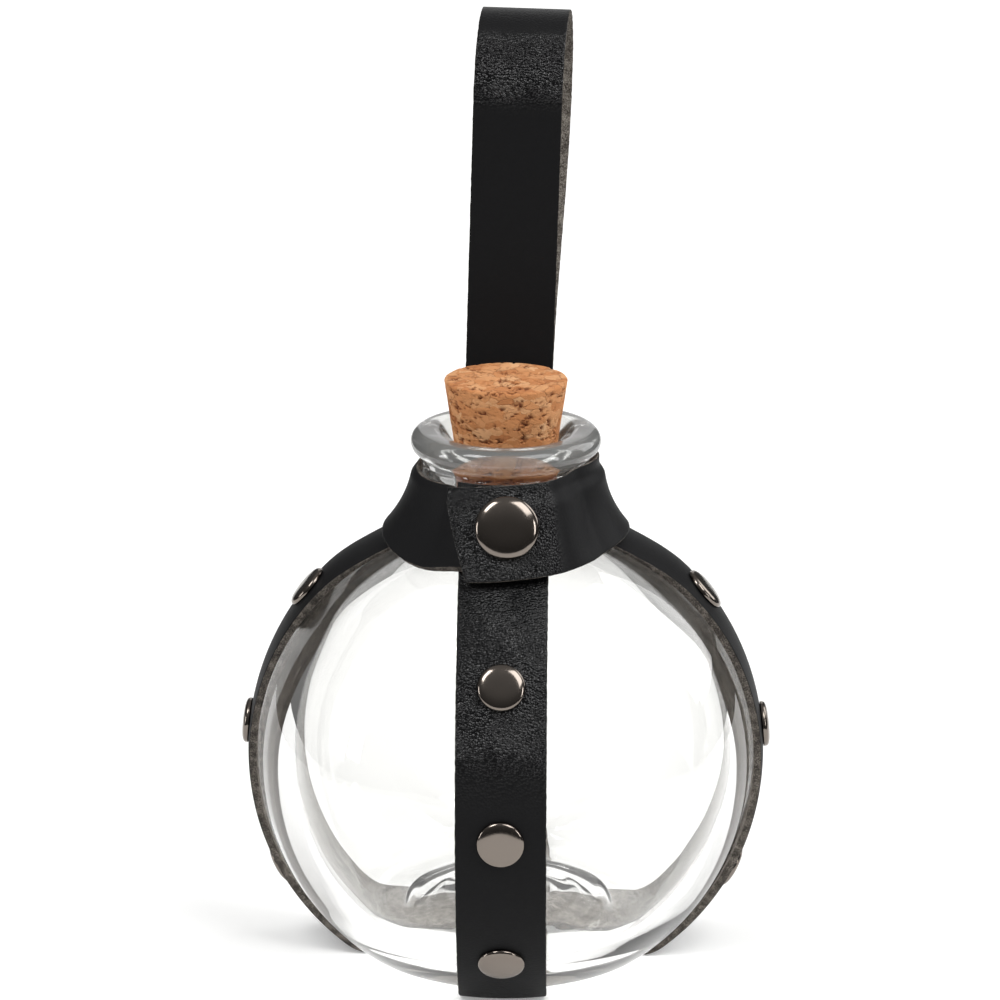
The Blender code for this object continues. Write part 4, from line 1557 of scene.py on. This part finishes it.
    def build(self, finishes: Finishes) -> None:
        """Cuts both pieces and lets the underlap ride with the bottle.

        Args:
            finishes: The materials.
        """
        rows = round(self.width / self.cell)
        reach = self.cone.ball.neck_radius + self.mean_flare
        turns = (math.radians(180.0 - self.flap_foot_end), math.radians(180.0 + self.underlap_end))
        wrap_cells, lap_cells = (round(reach * turn / self.cell) for turn in turns)
        wrap = self.stock.cut(
            "collar_wrap", (wrap_cells, rows), self.wrap_face, self.relief, self.skive,
            finishes, True)
        middle, way = self.hinge_place()
        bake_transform(wrap)
        enter(wrap, Slot.LEATHER, "collar_flap")
        lap = self.stock.cut(
            "collar_underlap", (lap_cells, rows), self.underlap_face, pressed, self.skive,
            finishes, False)
        settle(lap, Body.HARNESS, Slot.LEATHER, "collar")


@dataclass(frozen=True)
class BeltLoop:
    """The folded strap behind the cork, riveted to the collar by its two ends."""

    cone: ConeForm = ConeForm()
    stock: LeatherStock = LeatherStock()
    width: float = 15.8 * MM
    lift: float = 2.2 * MM  # of the bend above the collar's top edge
    height: float = 72.0 * MM
    fold_radius: float = 14.0 * MM
    lean: float = 0.03  # sideways for each unit of height
    skew: float = 0.07  # sideways for each unit backwards
    rivet_down: float = 6.2 * MM
    end_corner: float = 3.0 * MM
    slack: float = 0.42  # of the back's belly, as a share of it
    lean_over: float = 20.0 * MM
    skew_over: float = 10.0 * MM
    grain_below: float = 4.0 * MM  # it starts this far below the fold's centre
    grain_blur: float = 5.0 * MM
    least_relief: float = 0.1
    worn_from: float = 0.66  # shares of the fold's radius above its centre
    worn_blur: float = 3.0 * MM
    worn_share: float = 0.8
    bend_half: float = 3.0 * MM  # half the height over which it bends
    smoothing: int = 14  # rounds that take off the line's corners
    cell: float = 0.6 * MM

    @property
    def hinge(self) -> tuple[float, float]:
        """Where the loop bends, as (reach behind the axis, rise)."""
        ball = self.cone.ball
        middle = self.cone.collar + ball.leather + ball.seat_gap / 2 + ball.layer
        return self.cone.point(middle, self.cone.top - self.lift)

    def centre_line(self) -> Outline:
        """Runs up the middle of the strap's thickness, over the fold and down again.

        Returns:
            The points, as (reach behind the axis, rise).
        """
        ball = self.cone.ball
        reach, rise = self.hinge
        half_gap = ball.layer / 2
        start = rise + 2 * ball.layer
        fold = self.fold_radius - ball.leather / 2
        front = reach - half_gap
        centre = (front + fold, rise + self.height - ball.leather / 2 - fold)
        first = self.cone.collar + ball.leather + ball.seat_gap + ball.leather / 2
        down = 2 * self.rivet_down
        up = [self.cone.point(first, self.cone.top + down), self.cone.point(first, self.cone.top)]
        belly = (centre[0] + fold, centre[1])
        foot = (reach + half_gap, start)
        slack = (belly[1] - foot[1]) * self.slack
        handles = (belly, (belly[0], belly[1] - slack), (foot[0], foot[1] + slack), foot)
        steps = 24
        back = [bezier(handles, step / steps) for step in range(1, steps + 1)]
        second = first + ball.layer
        ends = [self.cone.point(second, self.cone.top + run) for run in (0.0, down)]
        return up + [(front, start)] + arc(centre, fold, math.pi, 0.0, 48) + back + ends

    def flesh_line(self) -> Outline:
        """Gives the line of the flesh side, evenly spaced, with the corners rounded off.

        Returns:
            The points, as (reach behind the axis, rise).
        """
        line = self.centre_line()
        length = total(line)
        count = round(length / self.cell)
        points = [along(line, length * step / count) for step in range(count + 1)]
        for _ in range(self.smoothing):
            inner = [
                mix(here, mix(before, after, 0.5), 0.5)
                for before, here, after in zip(points, points[1:], points[2:])]
            points = [points[0]] + inner + [points[-1]]
        return offset_line(points, -self.cone.ball.leather / 2)

    def relief(self, place: Vector) -> float:
        """Gives how far the grain stands up: fully on the fold's shoulders, hardly elsewhere.

        Args:
            place: A place on the leather.

        Returns:
            The relief, from 0 to 1.
        """
        middle = self.hinge[1] + self.height - self.fold_radius
        rise = place.z - self.cone.ball.centre.z - middle
        past = rise - self.worn_from * self.fold_radius
        worn = self.worn_share * smooth(past / self.worn_blur)
        grain = smooth((rise + self.grain_below) / self.grain_blur) * (1.0 - worn)
        return self.least_relief + (1.0 - self.least_relief) * grain

    def build(self, finishes: Finishes) -> None:
        """Cuts the strap.

        Args:
            finishes: The materials.
        """
        line = self.flesh_line()
        count = len(line) - 1
        ball = self.cone.ball
        hinge_reach, hinge_rise = self.hinge

        def face(u: float, v: float) -> Vector:
            """Gives a point on the flesh side: u runs along the strap and v across it.

            Args:
                u: The share along.
                v: The share across.

            Returns:
                The point.
            """
            step = round(u * count)
            reach, rise = line[step]
            from_end = min(step, count - step) * self.cell
            corner = self.end_corner
            inset = corner - math.sqrt(max(0.0, corner ** 2 - max(0.0, corner - from_end) ** 2))
            aside = (self.width - 2 * inset) * (v - 0.5)
            above = max(0.0, rise - hinge_rise)
            behind = max(0.0, reach - hinge_reach) * smooth(above / self.skew_over)
            tipped = self.lean * smooth(above / self.lean_over) * (aside + self.width / 2)
            sideways = aside + self.lean * above + self.skew * behind
            return ball.centre + Vector((sideways, reach, rise - tipped))

        cells = (count, round(self.width / self.cell))
        piece = self.stock.cut(
            "belt_loop_strap", cells, face, self.relief, unpared, finishes, False)
        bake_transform(piece)
        enter(piece, Slot.LEATHER, "belt_loop", "loop_front_end", "loop_back_end")


# Metalwork


@dataclass(frozen=True)
class Stamping:
    """A cap that is nearly flat in its middle and rolls over at its rim, with its post.

    A squareness of 2 gives a plain dome, and a higher one a flatter middle and a tighter rim.
    """

    radius: float
    height: float
    bead: float
    squareness: float

    def outline(self, seat: float, shank: float, foot: float) -> Outline:
        """Runs from the middle of the post's foot up and round to the middle of the dome.

        Args:
            seat: The height of the leather that the cap lies on.
            shank: The post's radius.
            foot: The height of the post's foot.

        Returns:
            The points.
        """
        rim = arc((self.radius - self.bead, seat + self.bead), self.bead, -math.pi / 2, 0.0, 8)
        power = 2.0 / self.squareness
        rise = self.height - self.bead
        steps = 36
        dome = [
            (self.radius * math.cos(turn) ** power,
             seat + self.bead + rise * math.sin(turn) ** power)
            for turn in (math.pi / 2 * step / steps for step in range(1, steps))]
        post = [(0.0, foot), (shank, foot), (shank, seat)]
        return post + rim + dome + [(0.0, seat + self.height)]


@dataclass(frozen=True)
class Metalwork:
    """Every rivet, and the press snap, in one plate."""

    cone: ConeForm = ConeForm()
    rivet: Stamping = Stamping(4.1 * MM, 1.4 * MM, 0.22 * MM, 3.0)
    snap: Stamping = Stamping(5.52 * MM, 1.95 * MM, 0.28 * MM, 2.4)
    shank: float = 1.0 * MM
    snap_shank: float = 1.2 * MM
    snap_foot: float = 0.6 * MM
    back_radius: float = 3.2 * MM
    back_thickness: float = 0.5 * MM
    back_edge: float = 0.4  # radius of its edge, as a share of the thickness
    back_edge_from: float = -1.3  # radians
    back_middle: float = 0.6  # share of the radius that is nearly flat
    back_dome: float = 0.04 * MM
    long_latitudes: tuple[float, ...] = (33.0, 0.0, -32.5)  # degrees on the ball
    side_latitudes: tuple[float, ...] = (40.5, 6.0, -29.0)
    loop_rivet_down: float = 6.2 * MM
    snap_bearing: float = 1.5  # degrees
    snap_down: float = 7.8 * MM  # from the collar's top edge
    pressed: float = 0.12 * MM  # how deep the rims sit in the leather
    segments: int = 72

    @property
    def seat(self) -> float:
        """The height at which a cap's rim is pressed into the leather."""
        return self.cone.ball.leather - self.pressed

    def places(self) -> Iterable[tuple[str, Matrix]]:
        """Gives each strap rivet's name and its place on the strap's flesh side.

        Returns:
            The pairs of name and place.
        """
        seat = self.cone.ball.ball_radius + self.cone.ball.seat_gap
        sides = (("front", 0.0, self.long_latitudes), ("back", 180.0, self.long_latitudes),
                 ("right", 90.0, self.side_latitudes), ("left", 270.0, self.side_latitudes))
        for side, bearing, latitudes in sides:
            for number, latitude in enumerate(latitudes, 1):
                lift = math.radians(latitude)
                yield f"{side}_{number}", self.cone.ball.facing(
                    bearing, seat * math.cos(lift), seat * math.sin(lift), latitude)

    def disc(self, low: float) -> Outline:
        """Runs round a rivet's back cap: a thin disc with a soft edge, domed towards the glass.

        Args:
            low: The height of its underside.

        Returns:
            The points, as (reach, rise).
        """
        edge = self.back_thickness * self.back_edge
        top = low + self.back_thickness
        rim = arc(
            (self.back_radius - edge, top - edge), edge, self.back_edge_from, math.pi / 2, 8)
        middle = (self.back_radius * self.back_middle, low + self.back_dome)
        return [(0.0, low), middle] + rim + [(0.0, top)]

    def form(self, name: str, outline: Outline, finishes: Finishes) -> bpy.types.Object:
        """Turns one stamping at the frame's origin and dresses it.

        Args:
            name: The piece's name.
            outline: Its section.
            finishes: The materials.

        Returns:
            The piece.
        """
        piece = turned(name, outline, self.segments)
        piece.data.materials.append(finishes.gunmetal)
        shade(piece, 50.0)
        return piece

    def build_rivets(self, finishes: Finishes) -> None:
        """Stamps a cap and a back once and sets a pair in each place.

        Args:
            finishes: The materials.
        """
        ball = self.cone.ball
        foot = self.back_thickness + ball.seat_gap
        cap = self.form("cap", self.rivet.outline(self.seat, self.shank, foot), finishes)
        back = self.form("back", self.disc(0.0), finishes)
        for name, place in self.places():
            for kind, pattern in (("cap", cap), ("back", back)):
                piece = copy_at(pattern, f"{name}_rivet_{kind}", place)
                settle(piece, Body.HARNESS, Slot.GUNMETAL, f"rivet_{name}_{kind}")
        remove(cap)
        remove(back)

    def build_loop_rivet(self, finishes: Finishes) -> None:
        """Makes the rivet through both loop ends and the collar.

        Args:
            finishes: The materials.
        """
        ball = self.cone.ball
        seat = self.seat + 2 * ball.layer
        reach = self.cone.point(self.cone.strap, self.cone.top + self.loop_rivet_down)[0]
        sag = reach - math.sqrt(reach ** 2 - self.back_radius ** 2)
        back_top = -ball.layer - ball.seat_gap - sag
        place = self.cone.facing(180.0, self.cone.collar, self.loop_rivet_down)
        outlines = (
            ("loop_rivet_cap", self.rivet.outline(seat, self.shank, back_top + ball.seat_gap)),
            ("loop_rivet_back", self.disc(back_top - self.back_thickness)))
        for node, outline in outlines:
            piece = self.form(f"dressed_{node}", outline, finishes)
            piece.data.transform(place)
            settle(piece, Body.HARNESS, Slot.GUNMETAL, node)

    def build_snap(self, finishes: Finishes) -> None:
        """Makes the snap's cap, and plates its hidden halves.

        Args:
            finishes: The materials.
        """
        place = self.cone.facing(self.snap_bearing, self.cone.flap, self.snap_down)
        outline = self.snap.outline(self.seat, self.snap_shank, self.snap_foot)
        piece = self.form("snap_cap_dome", outline, finishes)
        piece.data.transform(place)
        settle(piece, Body.FLAP, Slot.GUNMETAL, "snap_cap")
        for node in ("snap_socket", "snap_stud", "snap_post"):
            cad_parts[node].data.materials.clear()
            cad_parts[node].data.materials.append(finishes.gunmetal)
            LOG.info("%s: plated", node)

    def build(self, finishes: Finishes) -> None:
        """Makes all the metalwork.

        Args:
            finishes: The materials.
        """
        self.build_rivets(finishes)
        self.build_loop_rivet(finishes)
        self.build_snap(finishes)


# The studio


@dataclass(frozen=True)
class SoftBox:
    """A large soft lamp that looks at the bottle."""

    name: str
    bearing: float
    elevation: float
    distance: float
    size: tuple[float, float]
    power: float

    def place(self, target: Vector) -> None:
        """Hangs the lamp and turns it to its target.

        Args:
            target: The point that it looks at.
        """
        turn, lift = math.radians(self.bearing), math.radians(self.elevation)
        level = Vector((math.sin(turn), -math.cos(turn), 0.0)) * math.cos(lift)
        spoke = level + Vector((0.0, 0.0, math.sin(lift)))
        lamp = bpy.data.lights.new(self.name, "AREA")
        lamp.shape = "RECTANGLE"
        lamp.size, lamp.size_y = self.size
        lamp.energy = self.power
        holder = bpy.data.objects.new(self.name, lamp)
        bpy.context.scene.collection.objects.link(holder)
        holder.location = target + spoke * self.distance
        holder.rotation_euler = spoke.to_track_quat("Z", "Y").to_euler()
        LOG.info("%s: %.0f W", self.name, self.power)


@dataclass(frozen=True)
class Studio:
    """A sheet of white paper that the bottle stands on, soft lamps, and a dim room round them."""

    sheet: tuple[float, float, float] = (0.28, -0.3, 1.15)  # half width, near edge, far edge
    sheet_colour: str = "#ebebea"
    near_glow: float = 0.26  # keeps the sheet white to the eye
    far_glow: float = 0.64
    sky: float = 0.45  # light of the surroundings on the bottle
    lens: float = 133.2  # millimetres on a 36 mm sensor
    pitch: float = 73.1  # degrees from straight down
    swing: float = 1.2
    camera_place: tuple[float, float, float] = (0.01216, -0.6305, 0.2762)
    room_radius: float = 3.0
    room_tones: Stops = (
        (0.0, "#3a3a3a"), (0.5, "#4a4a4a"), (0.75, "#666666"), (0.93, "#9a9a9a"))
    room_through_glass: float = 2.6  # how much brighter glass shows it
    backdrop_height: float = 0.9
    backdrop_glow: float = 0.95
    lamps: tuple[SoftBox, ...] = (
        SoftBox("left_softbox", -54.0, 58.0, 1.1, (0.3, 0.4), 4.0),
        SoftBox("right_softbox", 54.0, 56.0, 1.1, (0.6, 0.55), 5.0),
        SoftBox("tall_right_softbox", 120.0, 28.0, 1.0, (0.45, 0.8), 3.4),
        SoftBox("left_strip", -80.0, 10.0, 1.0, (0.14, 0.36), 1.5),
        SoftBox("right_strip", 62.0, 18.0, 1.0, (0.14, 0.4), 1.4),
    )

    def seen_directly(self, tree: bpy.types.NodeTree) -> bpy.types.NodeSocket:
        """Gives 1 for what the camera sees, straight or in metal or through glass, else 0.

        Args:
            tree: The node tree that asks.

        Returns:
            The output that says so.
        """
        path = add_node(tree, "ShaderNodeLightPath")
        seen = path.outputs["Is Camera Ray"]
        for kind in ("Is Glossy Ray", "Is Transmission Ray"):
            seen = add_node(
                tree, "ShaderNodeMath", {"operation": "ADD", "use_clamp": True},
                {0: seen, 1: path.outputs[kind]}).outputs["Value"]
        return seen

    def make_sky(self) -> None:
        """Makes the white surroundings."""
        world = bpy.data.worlds.new("white_surroundings")
        bpy.context.scene.world = world
        world.use_nodes = True
        tree = world.node_tree
        strength = add_node(
            tree, "ShaderNodeMapRange", {"To Min": self.sky, "To Max": 1.0},
            {"Value": self.seen_directly(tree)})
        background = tree.nodes["Background"]
        feed(tree, background, {"Color": colour("#ffffff")}, {"Strength": strength})

    def make_floor(self) -> None:
        """Lays the sheet of paper, which keeps the bottle's soft shadow."""
        half_width, near, far = self.sheet
        floor = self.panel("paper_sheet", [
            Vector((across, back, 0.0)) for back in (near, far)
            for across in (-half_width, half_width)])
        material, tree, shader = new_material("white_cartridge_paper")
        where = add_node(tree, "ShaderNodeTexCoord").outputs["Object"]
        depth = add_node(tree, "ShaderNodeSeparateXYZ", None, {"Vector": where}).outputs["Y"]
        glowing = add_node(
            tree, "ShaderNodeMapRange",
            {"From Max": far, "To Min": self.near_glow, "To Max": self.far_glow},
            {"Value": depth})
        glow = add_node(
            tree, "ShaderNodeMath", {"operation": "MULTIPLY"},
            {0: self.seen_directly(tree), 1: glowing})
        feed(tree, shader, {
            "Base Color": colour(self.sheet_colour), "Roughness": 1.0,
            "Specular IOR Level": 0.0, "Emission Color": colour("#ffffff")},
            {"Emission Strength": glow})
        floor.data.materials.append(material)

    def panel(self, name: str, corners: Sequence[Vector]) -> bpy.types.Object:
        """Makes a flat panel from its four corners: near left, near right, far left, far right.

        Args:
            name: The panel's name.
            corners: Its corners.

        Returns:
            The panel.
        """
        bpy.ops.object.select_all(action="DESELECT")
        bpy.ops.mesh.primitive_plane_add(size=1.0)
        piece = name_new(name)
        for vertex, corner in zip(piece.data.vertices, corners):
            vertex.co = corner
        return piece

    def dim(self, piece: bpy.types.Object) -> None:
        """Keeps a thing of the studio out of the picture, so that only glass and metal show it.

        Args:
            piece: The thing.
        """
        piece.visible_camera = False
        piece.visible_diffuse = False
        piece.visible_shadow = False

    def make_room(self) -> None:
        """Builds the dim room, lighter towards its ceiling, and hangs the white backdrop in it."""
        bpy.ops.object.select_all(action="DESELECT")
        bpy.ops.mesh.primitive_uv_sphere_add(segments=48, ring_count=24, radius=self.room_radius)
        room = name_new("dim_room")
        walls, tree, shader = new_material("grey_studio_wall")
        where = add_node(tree, "ShaderNodeTexCoord").outputs["Object"]
        height = add_node(tree, "ShaderNodeSeparateXYZ", None, {"Vector": where}).outputs["Z"]
        share = add_node(
            tree, "ShaderNodeMapRange",
            {"From Min": -self.room_radius, "From Max": self.room_radius}, {"Value": height})
        tone = add_node(tree, "ShaderNodeValToRGB", {"stops": self.room_tones}, {"Fac": share})
        path = add_node(tree, "ShaderNodeLightPath")
        strength = add_node(
            tree, "ShaderNodeMapRange", {"To Min": 1.0, "To Max": self.room_through_glass},
            {"Value": path.outputs["Is Transmission Ray"]})
        feed(
            tree, shader, {"Base Color": colour("#000000"), "Specular IOR Level": 0.0},
            {"Emission Color": tone, "Emission Strength": strength})
        room.data.materials.append(walls)
        self.dim(room)

        half_width, _, far = self.sheet
        backdrop = self.panel("white_backdrop", [
            Vector((across, far, up)) for up in (0.0, self.backdrop_height)
            for across in (-half_width, half_width)])
        paper, tree, shader = new_material("lit_white_paper")
        feed(tree, shader, {
            "Base Color": colour("#000000"), "Specular IOR Level": 0.0,
            "Emission Color": colour("#ffffff"), "Emission Strength": self.backdrop_glow})
        backdrop.data.materials.append(paper)
        self.dim(backdrop)

    def make_camera(self) -> None:
        """Stands the camera where the photograph was taken from."""
        lens = bpy.data.cameras.new("product_camera")
        lens.lens = self.lens
        lens.sensor_width = 36.0
        camera = bpy.data.objects.new("product_camera", lens)
        bpy.context.scene.collection.objects.link(camera)
        camera.location = self.camera_place
        camera.rotation_euler = (math.radians(self.pitch), 0.0, math.radians(self.swing))
        bpy.context.scene.camera = camera

    def build(self, target: Vector) -> None:
        """Sets the studio up round a target.

        Args:
            target: The point that the lamps look at.
        """
        bpy.context.scene.view_settings.view_transform = "Standard"
        self.make_camera()
        self.make_sky()
        self.make_floor()
        self.make_room()
        for lamp in self.lamps:
            lamp.place(target)


def main() -> None:
    """Sets up the studio and builds every sub-assembly in order."""
    logging.basicConfig(level=logging.INFO, format="%(name)s %(message)s")
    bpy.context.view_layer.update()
    ball = BallForm()
    Studio().build(ball.centre)
    finishes = Finishes()
    GlassBottle().build(finishes)
    Cork().build(finishes)
    Straps().build(finishes)
    Collar().build(finishes)
    BeltLoop().build(finishes)
    Metalwork().build(finishes)


if __name__ == "__main__":
    main()
